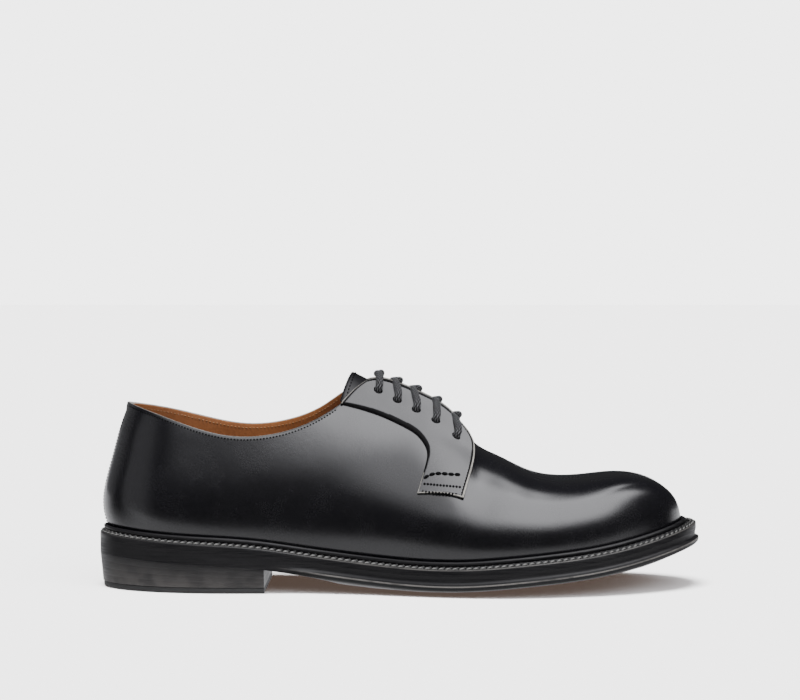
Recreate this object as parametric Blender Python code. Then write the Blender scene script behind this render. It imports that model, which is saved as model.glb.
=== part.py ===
"""Plain-toe derby shoe for the right foot, empty and standing on its own sole.

Frame: metres, +X to the toe, -Y to the outer (lateral) side, +Z up, floor at z = 0, and the
origin under the middle of the sole. One surface function, last_surface, gives the closed form
of the last. The upper, facings, tongue, welt and laces all take their shape from it, each at
its own distance from that surface.
"""
import math
from collections import namedtuple

import bmesh
import bpy
import numpy as np
from mathutils import Matrix, Vector

# Driving dimensions of the last, in metres
LAST_LENGTH = 0.2895
BALL_WIDTH = 0.093
INSTEP_RISE = 0.088
COLLAR_RISE = 0.0655
MEDIAL_COLLAR_LIFT = 0.0032
HEEL_PITCH = 0.0138
TOE_SPRING = 0.0166
HEEL_FAN = 0.034
HEEL_FAN_BLEND = 0.007

# Sole, welt and heel
WELT_THICKNESS = 0.0032
WELT_REACH_HEEL = 0.0058
WELT_REACH_TOE = 0.0078
WELT_FLANGE = 0.0042
RIB_HEIGHT = 0.0036
RIB_WIDTH = 0.0026
OUTSOLE_THICKNESS = 0.0066
TREAD_CROWN = 0.0036
TREAD_WEAR = 0.0006
SOLE_HOLLOW = 0.0009
LIP_REACH = 0.0014
LIP_HEIGHT = 0.0022
HEEL_LENGTH = 0.0852
HEEL_TAPER = 0.0018
LIFT_THICKNESS = 0.0030

# Leathers, laces and clearances
UPPER_WALL = 0.0020
FACING_THICKNESS = 0.0015
TONGUE_THICKNESS = 0.0024
TONGUE_HALF_WIDTH = 0.026
TONGUE_LIFT = 0.0016
TONGUE_END_ROUND = 0.0050
TONGUE_GAP = 0.0014
INSOLE_THICKNESS = 0.0030
LACE_DIAMETER = 0.0033
EYELET_COUNT = 5
EYELET_CLEARANCE = 0.0004
GAP = 0.0003
FACING_GAP = 0.0006

# Plan of the feather line: half width and sideways swing, as shares of half the ball width
Outline = namedtuple("Outline", "along half swing")
OUTLINE = (
    Outline(0.000, 0.000, 0.000),
    Outline(0.040, 0.400, 0.000),
    Outline(0.100, 0.580, 0.000),
    Outline(0.190, 0.664, -0.005),
    Outline(0.280, 0.650, -0.012),
    Outline(0.370, 0.612, -0.040),
    Outline(0.450, 0.650, -0.075),
    Outline(0.540, 0.800, -0.075),
    Outline(0.630, 0.948, -0.030),
    Outline(0.700, 1.000, 0.012),
    Outline(0.770, 0.965, 0.040),
    Outline(0.840, 0.830, 0.060),
    Outline(0.910, 0.610, 0.078),
    Outline(0.965, 0.370, 0.090),
    Outline(1.000, 0.000, 0.095),
)
# Ridge of the last: height above the welt as a share of INSTEP_RISE, sideways place
Ridge = namedtuple("Ridge", "along height swing")
RIDGE = (
    Ridge(0.000, 1.028, 0.000),
    Ridge(0.120, 1.068, 0.000),
    Ridge(0.260, 1.080, 0.000),
    Ridge(0.360, 1.083, 0.020),
    Ridge(0.430, 1.066, 0.050),
    Ridge(0.490, 1.003, 0.080),
    Ridge(0.540, 0.935, 0.100),
    Ridge(0.590, 0.828, 0.120),
    Ridge(0.640, 0.650, 0.130),
    Ridge(0.680, 0.568, 0.130),
    Ridge(0.730, 0.472, 0.130),
    Ridge(0.780, 0.419, 0.130),
    Ridge(0.830, 0.402, 0.125),
    Ridge(0.880, 0.393, 0.120),
    Ridge(0.930, 0.345, 0.110),
    Ridge(0.968, 0.256, 0.100),
    Ridge(0.990, 0.156, 0.096),
    Ridge(1.000, 0.000, 0.095),
)
# Rise of the welt's top over its height at the ball, from the heel pitch and the toe spring
Rise = namedtuple("Rise", "along heel toe")
RISE = (
    Rise(0.00, 1.00, 0.00),
    Rise(0.12, 0.82, 0.00),
    Rise(0.26, 0.64, 0.00),
    Rise(0.34, 0.40, 0.00),
    Rise(0.44, 0.14, 0.00),
    Rise(0.54, 0.00, 0.00),
    Rise(0.62, 0.00, 0.01),
    Rise(0.70, 0.00, 0.12),
    Rise(0.79, 0.00, 0.27),
    Rise(0.88, 0.00, 0.50),
    Rise(0.95, 0.00, 0.77),
    Rise(1.00, 0.00, 1.00),
)
# Half section from the feather line to the ridge: how far in and up each control point lies
Section = namedtuple("Section", "along bulge_in bulge_up wall_in wall_up "
                                "shoulder_in shoulder_up crown_in crown_up")
SECTIONS = (
    Section(0.00, -0.10, 0.070, -0.165, 0.200, 0.060, 0.450, 0.300, 0.850),
    Section(0.10, -0.09, 0.075, -0.150, 0.200, -0.010, 0.450, 0.240, 0.880),
    Section(0.24, -0.08, 0.080, -0.130, 0.220, -0.030, 0.500, 0.220, 0.950),
    Section(0.38, -0.10, 0.090, -0.170, 0.260, 0.000, 0.620, 0.420, 1.000),
    Section(0.50, -0.10, 0.100, -0.170, 0.330, 0.200, 0.740, 0.700, 1.000),
    Section(0.62, -0.07, 0.120, -0.110, 0.400, 0.230, 0.830, 0.640, 1.000),
    Section(0.74, -0.05, 0.140, -0.080, 0.480, 0.180, 0.930, 0.560, 1.000),
    Section(0.88, -0.04, 0.160, -0.060, 0.560, 0.160, 0.980, 0.540, 1.000),
    Section(1.00, -0.03, 0.200, -0.040, 0.600, 0.200, 1.000, 0.560, 1.000),
)
# Collar edge above the welt: shares of COLLAR_RISE, INSTEP_RISE and MEDIAL_COLLAR_LIFT
Collar = namedtuple("Collar", "along back instep medial")
COLLAR = (
    Collar(0.000, 1.00, 0.00, 0.00),
    Collar(0.060, 0.97, 0.00, 0.30),
    Collar(0.114, 0.92, 0.00, 0.70),
    Collar(0.165, 0.86, 0.00, 1.00),
    Collar(0.234, 0.76, 0.05, 1.00),
    Collar(0.285, 0.60, 0.20, 1.00),
    Collar(0.336, 0.40, 0.42, 1.00),
    Collar(0.370, 0.25, 0.60, 1.10),
    Collar(0.405, 0.10, 0.80, 1.30),
    Collar(0.447, 0.00, 1.00, 0.80),
    Collar(0.500, 0.00, 1.20, 0.50),
)
# Facing outline from the collar round to the tab, as shares of the length and of the section
Facing = namedtuple("Facing", "outer_along outer_up inner_along inner_up")
FACING = (
    Facing(0.445, 0.868, 0.403, 0.762),
    Facing(0.478, 0.928, 0.438, 0.747),
    Facing(0.517, 0.950, 0.474, 0.733),
    Facing(0.556, 0.955, 0.508, 0.711),
    Facing(0.593, 0.962, 0.533, 0.685),
    Facing(0.622, 0.930, 0.547, 0.646),
    Facing(0.631, 0.810, 0.552, 0.604),
    Facing(0.629, 0.680, 0.550, 0.553),
    Facing(0.622, 0.552, 0.544, 0.488),
    Facing(0.613, 0.425, 0.535, 0.397),
)
# Throat edge of the upper under the facings, as shares of the section
Throat = namedtuple("Throat", "along up")
THROAT = (
    Throat(0.400, 0.830),
    Throat(0.445, 0.850),
    Throat(0.478, 0.908),
    Throat(0.517, 0.930),
    Throat(0.556, 0.936),
    Throat(0.615, 0.940),
)
THROAT_END = THROAT[-1].along
# Eyelet rows run from the top hole to the bottom one
Eyelet = namedtuple("Eyelet", "along up")
TOP_EYELET = Eyelet(0.466, 0.842)
BOTTOM_EYELET = Eyelet(0.599, 0.766)
# Share of the section up to which a lace bar lies on the last's curve
LACE_CREST = 0.985
# Sections of the tongue: half width as a share of TONGUE_HALF_WIDTH and lift of its free end
Tongue = namedtuple("Tongue", "along half lift")
TONGUE = (
    Tongue(0.405, 0.86, 1.00),
    Tongue(0.425, 0.90, 0.50),
    Tongue(0.447, 0.94, 0.10),
    Tongue(0.500, 0.96, 0.00),
    Tongue(0.560, 0.92, 0.00),
    Tongue(0.620, 0.75, 0.00),
    Tongue(0.660, 0.55, 0.00),
)
# Across the tread, from its edge to its middle, how much of the crown it drops
Tread = namedtuple("Tread", "across drop")
TREAD = (
    Tread(0.90, 0.18),
    Tread(0.70, 0.55),
    Tread(0.42, 1.00),
)
# How the parts are divided into facets
LENGTH_STEPS = 32
THROAT_ROWS = 6
SECTION_SHARES = (0, 0.035, 0.08, 0.15, 0.23, 0.32, 0.41, 0.51, 0.61, 0.71, 0.81, 0.91, 1)
FACING_STEPS = 18
FACING_COLUMNS = 5
TONGUE_COLUMNS = 9
TONGUE_STEPS = 12
HEEL_STEPS = 12
HOLE_SIDES = 12
MERGE_DISTANCE = 1e-6

LATERAL = -1
MEDIAL = 1
HALF_BALL = BALL_WIDTH / 2
OVERALL_LENGTH = LAST_LENGTH + WELT_REACH_HEEL + WELT_REACH_TOE + LIP_REACH
HEEL_X = WELT_REACH_HEEL - OVERALL_LENGTH / 2
BALL_HEIGHT = TREAD_CROWN + OUTSOLE_THICKNESS + GAP + WELT_THICKNESS


def angle_share(along):
    """Share of the half turn that goes with a share of the length."""
    return np.arccos(1 - 2 * np.asarray(along, float)) / math.pi


def along_share(t):
    """Share of the length at a share of the half turn."""
    return (1 - np.cos(math.pi * np.asarray(t, float))) / 2


def spline(xs, ys, level_start, level_end):
    """Smooth curve through points, level or free at each end."""
    xs = np.asarray(xs, float)
    ys = np.asarray(ys, float)
    step = np.diff(xs)
    slope = np.diff(ys) / step
    count = len(xs)
    matrix = np.zeros((count, count))
    load = np.zeros(count)
    for i in range(1, count - 1):
        matrix[i, i - 1] = step[i - 1]
        matrix[i, i] = 2 * (step[i - 1] + step[i])
        matrix[i, i + 1] = step[i]
        load[i] = 6 * (slope[i] - slope[i - 1])
    matrix[0, 0] = matrix[-1, -1] = 1
    if level_start:
        matrix[0, :2] = 2, 1
        load[0] = 6 * slope[0] / step[0]
    if level_end:
        matrix[-1, -2:] = 1, 2
        load[-1] = -6 * slope[-1] / step[-1]
    bend = np.linalg.solve(matrix, load)

    def curve(x):
        x = np.asarray(x, float)
        i = np.clip(np.searchsorted(xs, x) - 1, 0, count - 2)
        d = x - xs[i]
        h = step[i]
        return (ys[i] + d * (slope[i] - h * (2 * bend[i] + bend[i + 1]) / 6)
                + d ** 2 * bend[i] / 2 + d ** 3 * (bend[i + 1] - bend[i]) / (6 * h))
    return curve


def track(table, column, free_ends=()):
    """Smooth curve through one column of a table, level at each end that is not free."""
    xs = angle_share([row.along for row in table])
    ys = [getattr(row, column) for row in table]
    return spline(xs, ys, "heel" not in free_ends, "toe" not in free_ends)


half_curve = track(OUTLINE, "half", ("heel", "toe"))
swing_curve = track(OUTLINE, "swing")
ridge_height = track(RIDGE, "height", ("toe",))
ridge_swing = track(RIDGE, "swing")
heel_rise = spline([row.along for row in RISE], [row.heel for row in RISE], False, True)
toe_rise = spline([row.along for row in RISE], [row.toe for row in RISE], True, False)
section_curves = {name: track(SECTIONS, name) for name in Section._fields[1:]}
collar_curves = {name: track(COLLAR, name, ("toe",)) for name in Collar._fields[1:]}
throat_curve = track(THROAT, "up", ("heel", "toe"))
tongue_curves = {name: track(TONGUE, name, ("heel", "toe")) for name in Tongue._fields[1:]}


def ramp(value, start, end):
    """Smooth step from 0 at start to 1 at end."""
    share = np.clip((np.asarray(value, float) - start) / (end - start), 0, 1)
    return share * share * (3 - 2 * share)


def welt_level(x):
    """Height of the welt's top face over the floor, also out past the ends of the last."""
    along = (np.asarray(x, float) - HEEL_X) / LAST_LENGTH
    return BALL_HEIGHT + HEEL_PITCH * heel_rise(along) + TOE_SPRING * toe_rise(along)


def welt_height(t):
    """Height of the welt's top face at a station of the feather line."""
    return welt_level(HEEL_X + LAST_LENGTH * along_share(t))


def welt_reach(t):
    """How far the welt stands out from the feather line."""
    return WELT_REACH_HEEL + (WELT_REACH_TOE - WELT_REACH_HEEL) * ramp(along_share(t), 0.4, 1.0)


def plan(t, side):
    """Feather line seen from above: x and y."""
    t = np.asarray(t, float)
    x = HEEL_X + LAST_LENGTH * along_share(t)
    y = HALF_BALL * (swing_curve(t) + side * half_curve(t)) + SIDE_SHIFT
    return x, y


def plan_normal(t, side):
    """Outward direction of the feather line, straight back at the heel and on at the toe."""
    t = np.asarray(t, float)
    small = 1e-4
    ahead = plan(np.minimum(t + small, 1), side)
    behind = plan(np.maximum(t - small, 0), side)
    dx = ahead[0] - behind[0]
    dy = ahead[1] - behind[1]
    size = np.hypot(dx, dy)
    nx = -side * dy / size
    ny = side * dx / size
    ends = (t <= 0) | (t >= 1)
    nx = np.where(ends, np.sign(t - 0.5), nx)
    ny = np.where(ends, 0, ny)
    return nx, ny


def offset_plan(t, side, out):
    """Plan of the feather line moved outwards."""
    x, y = plan(t, side)
    nx, ny = plan_normal(t, side)
    return x + nx * out, y + ny * out


def side_shift():
    """Sideways move that puts the origin under the middle of the sole."""
    t = np.linspace(0, 1, 400)
    out = welt_reach(t) + LIP_REACH
    low = offset_plan(t, LATERAL, out)[1].min()
    high = offset_plan(t, MEDIAL, out)[1].max()
    return -(low + high) / 2


SIDE_SHIFT = 0.0
SIDE_SHIFT = side_shift()


def spline_weights(v):
    """Weights of the six control points of a clamped cubic B-spline."""
    knots = np.array([0, 0, 0, 0, 1, 2, 3, 3, 3, 3]) / 3
    v = np.clip(np.asarray(v, float), 0, 1 - 1e-9)
    weights = [((v >= knots[i]) & (v < knots[i + 1])).astype(float) for i in range(9)]
    for degree in (1, 2, 3):
        raised = []
        for i in range(9 - degree):
            total = np.zeros_like(v)
            if knots[i + degree] > knots[i]:
                total += (v - knots[i]) / (knots[i + degree] - knots[i]) * weights[i]
            if knots[i + degree + 1] > knots[i + 1]:
                span = knots[i + degree + 1] - knots[i + 1]
                total += (knots[i + degree + 1] - v) / span * weights[i + 1]
            raised.append(total)
        weights = raised
    return weights


def last_surface(t, side, v):
    """Point of the last: t runs from heel to toe, v from the feather line up to the ridge."""
    t, v = np.broadcast_arrays(np.asarray(t, float), np.asarray(v, float))
    foot_x, foot_y = plan(t, side)
    foot_z = welt_height(t)
    fan_x = HEEL_X + HEEL_FAN
    ridge_x = foot_x + HEEL_FAN_BLEND * np.log1p(np.exp((fan_x - foot_x) / HEEL_FAN_BLEND))
    ridge_y = HALF_BALL * ridge_swing(t) + SIDE_SHIFT
    ridge_x = foot_x + (ridge_x - foot_x) * (1 - ramp(along_share(t), 0.2, 0.4))
    names = ("bulge", "wall", "shoulder", "crown")
    weights = spline_weights(v)
    inward = sum(weights[k + 1] * section_curves[name + "_in"](t) for k, name in enumerate(names))
    upward = sum(weights[k + 1] * section_curves[name + "_up"](t) for k, name in enumerate(names))
    inward = inward + weights[5]
    upward = upward + weights[5]
    return np.stack([foot_x + (ridge_x - foot_x) * inward,
                     foot_y + (ridge_y - foot_y) * inward,
                     foot_z + INSTEP_RISE * ridge_height(t) * upward], -1)


def raw_normal(t, side, v):
    """Outward normal of the last from two small steps along it."""
    small = 1e-4
    t = np.clip(t, small, 1 - small)
    v = np.clip(v, small, 1 - small)
    forward = last_surface(t + small, side, v) - last_surface(t - small, side, v)
    upward = last_surface(t, side, v + small) - last_surface(t, side, v - small)
    normal = -side * np.cross(forward, upward)
    return normal / np.linalg.norm(normal, axis=-1, keepdims=True)


def last_point(t, side, v, offset):
    """Point at a distance outside the last, where both sides agree on the heel line and ridge."""
    t, v = np.broadcast_arrays(np.asarray(t, float), np.asarray(v, float))
    normal = raw_normal(t, side, v)
    other = raw_normal(t, -side, v)
    shared = (t <= 0) | (v >= 1)
    normal = np.where(shared[..., None], normal + other, normal)
    normal = np.where((t >= 1)[..., None], np.array([1.0, 0.0, 0.0]), normal)
    normal = normal / np.linalg.norm(normal, axis=-1, keepdims=True)
    return last_surface(t, side, v) + normal * np.asarray(offset)[..., None]


def find_share(measure, target, low=0.0, high=1.0):
    """Share v at which a rising measure reaches its target, by halving."""
    target = np.asarray(target, float)
    low = np.full(target.shape, low)
    high = np.full(target.shape, high)
    for _ in range(40):
        middle = (low + high) / 2
        below = measure(middle) < target
        low = np.where(below, middle, low)
        high = np.where(below, high, middle)
    return (low + high) / 2


def share_at_height(t, side, height):
    """Share v at which the section is that high above the welt."""
    t = np.asarray(t, float)
    return find_share(lambda v: last_surface(t, side, v)[..., 2] - welt_height(t),
                      np.broadcast_to(height, t.shape))


def share_at_ridge_distance(t, side, distance):
    """Share v at which the section lies that far to the side of the ridge."""
    t = np.asarray(t, float)
    ridge_y = HALF_BALL * ridge_swing(t) + SIDE_SHIFT
    return find_share(lambda v: -np.abs(last_surface(t, side, v)[..., 1] - ridge_y),
                      -np.broadcast_to(distance, t.shape), low=0.2)


def make_material(name, colour, roughness, metallic=0.0):
    """Plain surface colour for one sub-part."""
    material = bpy.data.materials.new(name)
    material.use_nodes = True
    shader = material.node_tree.nodes["Principled BSDF"]
    shader.inputs["Base Color"].default_value = (*colour, 1)
    shader.inputs["Roughness"].default_value = roughness
    shader.inputs["Metallic"].default_value = metallic
    material.diffuse_color = (*colour, 1)
    return material


def add_object(name, mesh, material, collection):
    """Put a mesh into the model as one named sub-part."""
    part = bpy.data.objects.new(name, mesh)
    mesh.materials.append(material)
    mesh.shade_smooth()
    mesh.set_sharp_from_angle(angle=math.radians(35))
    collection.objects.link(part)
    return part


class Skin:
    """Points and faces of one closed solid, welded where its points meet."""

    def __init__(self):
        self.points = []
        self.faces = []

    def add_points(self, points):
        """Store points and return their numbers in the shape of the array."""
        points = np.asarray(points, float)
        first = len(self.points)
        self.points.extend(points.reshape(-1, 3).tolist())
        return np.arange(first, len(self.points)).reshape(points.shape[:-1])

    def add_strip(self, first, second):
        """Join two rows of points with four-sided faces."""
        for a, b, c, d in zip(first[:-1], first[1:], second[1:], second[:-1]):
            self.faces.append((int(a), int(b), int(c), int(d)))

    def add_grid(self, numbers):
        """Join all rows of a grid of points."""
        for first, second in zip(numbers[:-1], numbers[1:]):
            self.add_strip(first, second)

    def add_cap(self, ring):
        """Close a ring of points with one flat face."""
        self.faces.append(tuple(int(number) for number in ring))

    def make_mesh(self, name):
        """Weld the points into one closed mesh with its faces pointing out."""
        mesh = bpy.data.meshes.new(name)
        mesh.from_pydata(self.points, [], self.faces)
        work = bmesh.new()
        work.from_mesh(mesh)
        bmesh.ops.remove_doubles(work, verts=work.verts, dist=MERGE_DISTANCE)
        bmesh.ops.recalc_face_normals(work, faces=work.faces)
        work.to_mesh(mesh)
        work.free()
        return mesh


def loft(sections, capped=(False, False)):
    """Solid through closed sections, whose ends close to a line or are capped flat."""
    skin = Skin()
    numbers = skin.add_points(sections)
    closed = np.concatenate([numbers, numbers[:, :1]], axis=1)
    skin.add_grid(closed)
    if capped[0]:
        skin.add_cap(numbers[0])
    if capped[1]:
        skin.add_cap(numbers[-1])
    return skin


def shell(outer, inner):
    """Solid between two open grids of points, closed along all four edges."""
    skin = Skin()
    outside = skin.add_points(outer)
    inside = skin.add_points(inner)
    for numbers in (outside, inside):
        skin.add_grid(numbers)
    edges = (np.s_[0, :], np.s_[-1, :], np.s_[:, 0], np.s_[:, -1])
    for edge in edges:
        skin.add_strip(outside[edge], inside[edge])
    return skin


def length_rows():
    """Stations along the shoe, closer together from the collar's front to the throat's end."""
    start, end = angle_share([FACING[0].outer_along, THROAT_END])
    even = np.linspace(0, 1, LENGTH_STEPS + 1)
    outside = even[(even < start - 0.01) | (even > end + 0.01)]
    return np.sort(np.concatenate([outside, np.linspace(start, end, THROAT_ROWS)]))


def collar_rise(t, side):
    """Height of the collar edge above the welt."""
    medial = MEDIAL_COLLAR_LIFT * collar_curves["medial"](t) * (side == MEDIAL)
    return COLLAR_RISE * collar_curves["back"](t) + INSTEP_RISE * collar_curves["instep"](t) + medial


def top_share(t, side):
    """Share of the section at which the upper ends: collar, then throat, then the ridge."""
    last_row = angle_share(COLLAR[-1].along)
    collar = share_at_height(t, side, collar_rise(np.minimum(t, last_row), side))
    collar = np.where(t > last_row, 1.0, collar)
    throat = np.where(t < angle_share(THROAT[0].along), 1.0, throat_curve(t))
    joined = t >= angle_share(THROAT_END) - MERGE_DISTANCE
    return np.where(joined, 1.0, np.minimum(collar, throat))


def make_upper_skin():
    """One hollow wall from heel to toe, open below, at the collar and down the throat."""
    skin = Skin()
    t = length_rows()
    joined = top_share(t, LATERAL) >= 1
    for side in (LATERAL, MEDIAL):
        v = top_share(t, side)[:, None] * np.array(SECTION_SHARES)
        outside = skin.add_points(last_point(t[:, None], side, v, 0.0))
        inside = skin.add_points(last_point(t[:, None], side, v, -UPPER_WALL))
        skin.add_grid(outside)
        skin.add_grid(inside)
        skin.add_strip(outside[:, 0], inside[:, 0])
        open_rows = np.concatenate([np.flatnonzero(~joined), np.flatnonzero(joined)[:1]])
        skin.add_strip(outside[open_rows, -1], inside[open_rows, -1])
    return skin


def facing_grid(side, offset):
    """Points of one facing at a distance outside the last."""
    stations = np.linspace(0, 1, len(FACING))
    steps = np.linspace(0, 1, FACING_STEPS + 1)
    curves = {name: spline(stations, [getattr(row, name) for row in FACING], False, False)(steps)
              for name in Facing._fields}
    share = np.linspace(0, 1, FACING_COLUMNS)
    along = curves["outer_along"][:, None] * (1 - share) + curves["inner_along"][:, None] * share
    up = curves["outer_up"][:, None] * (1 - share) + curves["inner_up"][:, None] * share
    return last_point(angle_share(along), side, up, offset)


def make_facing_skin(side):
    """Leather strap over the upper, from the collar down to its tab on the vamp."""
    return shell(facing_grid(side, FACING_GAP + FACING_THICKNESS), facing_grid(side, FACING_GAP))


def eyelets():
    """Places of the eyelets from the top row down."""
    for k in range(EYELET_COUNT):
        share = k / (EYELET_COUNT - 1)
        along = TOP_EYELET.along + (BOTTOM_EYELET.along - TOP_EYELET.along) * share
        up = TOP_EYELET.up + (BOTTOM_EYELET.up - TOP_EYELET.up) * share
        yield angle_share(along), up


def hole_radius():
    """Radius of an eyelet, which the lace passes with clearance all round."""
    return LACE_DIAMETER / 2 + EYELET_CLEARANCE


def make_hole_cutters(side, collection):
    """Short rods square to the last at each eyelet."""
    reach = UPPER_WALL + FACING_GAP + FACING_THICKNESS
    cutters = []
    for k, (t, up) in enumerate(eyelets()):
        low = last_point(t, side, up, -2 * reach)
        high = last_point(t, side, up, 2 * reach)
        axis = Vector(high - low)
        turn = axis.to_track_quat("Z", "Y").to_matrix().to_4x4()
        work = bmesh.new()
        bmesh.ops.create_cone(work, cap_ends=True, segments=HOLE_SIDES, radius1=hole_radius(),
                              radius2=hole_radius(), depth=axis.length,
                              matrix=Matrix.Translation((low + high) / 2) @ turn)
        mesh = bpy.data.meshes.new(f"hole_{k + 1}_{side}")
        work.to_mesh(mesh)
        work.free()
        cutter = bpy.data.objects.new(mesh.name, mesh)
        cutter.hide_render = True
        cutter.display_type = "WIRE"
        collection.objects.link(cutter)
        cutters.append(cutter)
    return cutters


def cut_holes(part, cutters):
    """Take every cutter out of a part."""
    for cutter in cutters:
        cut = part.modifiers.new(cutter.name, "BOOLEAN")
        cut.operation = "DIFFERENCE"
        cut.solver = "EXACT"
        cut.object = cutter


def lace_side_points(t, up, side):
    """Lace centre from inside its eyelet, round the rim and over the facing to the throat."""
    rim = hole_radius()
    top = FACING_GAP + FACING_THICKNESS
    small = 1e-3
    step = last_point(t, side, up + small, top) - last_point(t, side, up, top)
    share_per_metre = small / np.linalg.norm(step)
    places = [(0.0, -UPPER_WALL / 2), (0.0, top)]
    for degrees in (45, 90):
        turn = math.radians(degrees)
        places.append((rim * (1 - math.cos(turn)), top + rim * math.sin(turn)))
    points = [last_point(t, side, up + run * share_per_metre, offset) for run, offset in places]
    start = up + rim * share_per_metre
    for share in (0.33, 0.67, 1.0):
        points.append(last_point(t, side, start + (LACE_CREST - start) * share, top + rim))
    return points


def make_lace_bar(name, t, up, material, collection):
    """One straight bar of lace from a lateral eyelet to the medial one."""
    lateral = lace_side_points(t, up, LATERAL)
    medial = lace_side_points(t, up, MEDIAL)
    points = lateral + medial[::-1]
    curve = bpy.data.curves.new(name, "CURVE")
    curve.dimensions = "3D"
    curve.bevel_depth = LACE_DIAMETER / 2
    curve.bevel_resolution = 2
    curve.use_fill_caps = True
    route = curve.splines.new("POLY")
    route.points.add(len(points) - 1)
    for target, point in zip(route.points, points):
        target.co = (*point, 1)
    curve.materials.append(material)
    bar = bpy.data.objects.new(name, curve)
    collection.objects.link(bar)
    return bar


def make_tongue_skin():
    """Padded strip under the throat, tied down under the vamp and free at the collar."""
    along = np.linspace(TONGUE[0].along, TONGUE[-1].along, TONGUE_STEPS + 1)
    free_end = (TONGUE[-1].along - along) / (TONGUE[-1].along - TONGUE[0].along)
    across = np.linspace(-1, 1, TONGUE_COLUMNS)
    half = TONGUE_HALF_WIDTH * tongue_curves["half"](angle_share(along))
    lift = TONGUE_LIFT * tongue_curves["lift"](angle_share(along))
    faces = []
    for depth in (0, TONGUE_THICKNESS):
        columns = []
        for u in across:
            side = LATERAL if u < 0 else MEDIAL
            t = angle_share(along + free_end * (1 - u * u) * TONGUE_END_ROUND / LAST_LENGTH)
            v = np.where(u == 0, 1.0, share_at_ridge_distance(t, side, abs(u) * half))
            offset = lift * (1 - u * u) ** 2 - UPPER_WALL - TONGUE_GAP - depth
            columns.append(last_point(t, side, v, offset))
        faces.append(np.stack(columns, axis=1))
    return shell(*faces)


def edge_point(t, side, out, height):
    """Point at a distance out from the feather line and a height over the welt's top face."""
    x, y = offset_plan(t, side, out)
    return float(x), float(y), float(welt_level(x)) + height


def ring_stations():
    """Stations round the feather line: out along the lateral side and back by the medial."""
    t = length_rows()
    return [(value, LATERAL) for value in t] + [(value, MEDIAL) for value in t[-2:0:-1]]


def make_welt_skin():
    """Welt strip round the upper with its raised storm rib, stitched flange and inner edge."""
    sections = []
    for t, side in ring_stations():
        t = np.array(t)
        reach = float(welt_reach(t))
        nx, ny = plan_normal(t, side)

        def from_feather(out, height):
            return edge_point(t, side, out, height)

        def from_upper(share, out):
            v = share_at_height(t, side, RIB_HEIGHT * share)
            x, y, _ = last_surface(t, side, v)
            x = float(x + nx * out)
            return x, float(y + ny * out), float(welt_level(x)) + RIB_HEIGHT * share

        sections.append((
            from_feather(-WELT_FLANGE, -WELT_THICKNESS),
            from_feather(-WELT_FLANGE, -GAP),
            from_feather(GAP, -GAP),
            from_upper(0.5, GAP),
            from_upper(1.0, GAP),
            from_upper(1.0, GAP + RIB_WIDTH / 2),
            from_upper(0.65, RIB_WIDTH),
            from_feather(reach * 0.62, 0.0),
            from_feather(reach * 0.62, -0.1 * WELT_THICKNESS),
            from_feather(reach * 0.68, 0.0),
            from_feather(reach - 0.1 * WELT_THICKNESS, 0.0),
            from_feather(reach, -0.1 * WELT_THICKNESS),
            from_feather(reach, -WELT_THICKNESS),
        ))
    sections.append(sections[0])
    return loft(np.array(sections))


def breast_share():
    """Share of the last's length at the front of the heel."""
    return (HEEL_LENGTH - WELT_REACH_HEEL) / LAST_LENGTH


def forepart(t, start, end):
    """Rises from 0 at the heel's front to 1 along the waist."""
    return ramp(along_share(t), breast_share() + start, breast_share() + end)


def make_outsole_skin():
    """Leather outsole: hollowed edge with a lip under it, and a tread crowned from side to side."""
    sections = []
    for t in length_rows():
        reach = float(welt_reach(t))
        top = -WELT_THICKNESS - GAP
        bottom = top - OUTSOLE_THICKNESS
        lip = LIP_REACH * float(forepart(t, 0.03, 0.12))
        hollow = SOLE_HOLLOW * float(forepart(t, 0.0, 0.10))
        fore = float(forepart(t, 0.02, 0.14)) * float(1 - ramp(along_share(t), 0.90, 1.0))
        sides = []
        for side in (LATERAL, MEDIAL):
            edge = ((reach, top), (reach - hollow, (top + bottom + LIP_HEIGHT) / 2),
                    (reach + lip, bottom + LIP_HEIGHT), (reach + lip * 0.5, bottom))
            sides.append([edge_point(t, side, out, height) for out, height in edge])
        lateral, medial = sides
        left = np.array(lateral[-1])
        right = np.array(medial[-1])
        tread = []
        for across, drop in [*TREAD, *((-row.across, row.drop) for row in TREAD[::-1])]:
            point = left * (1 + across) / 2 + right * (1 - across) / 2
            edge_height = float(welt_level(point[0])) + bottom
            point[2] = max(edge_height - (TREAD_CROWN * drop + TREAD_WEAR) * fore, 0.0)
            tread.append(point)
        sections.append(lateral + tread + medial[::-1])
    return loft(np.array(sections))


def heel_rows():
    """Stations from the back of the heel to its front."""
    return np.linspace(0, 1, HEEL_STEPS + 1) * float(angle_share(breast_share()))


def heel_top(x):
    """Height of the heel stack's upper face, just under the outsole."""
    return float(welt_level(x)) - WELT_THICKNESS - OUTSOLE_THICKNESS - 2 * GAP


def heel_sections(levels):
    """Closed sections of a heel layer, whose levels give a height and an inset down the side."""
    rows = heel_rows()
    breast_x = HEEL_X - WELT_REACH_HEEL + HEEL_LENGTH
    sections = []
    for t in rows:
        sides = []
        for side in (LATERAL, MEDIAL):
            points = []
            for height, inset in levels:
                x, y = offset_plan(t, side, float(welt_reach(t)) - inset)
                x = breast_x if t == rows[-1] else min(float(x), breast_x)
                points.append((x, float(y), heel_top(x) if height is None else height))
            sides.append(points)
        sections.append(sides[0] + sides[1][::-1])
    return np.array(sections)


def make_heel_skin():
    """Stacked leather heel under the outsole, leaning in a little towards the floor."""
    levels = ((None, 0.0), (LIFT_THICKNESS + GAP, HEEL_TAPER * 0.8))
    return loft(heel_sections(levels), capped=(False, True))


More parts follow.
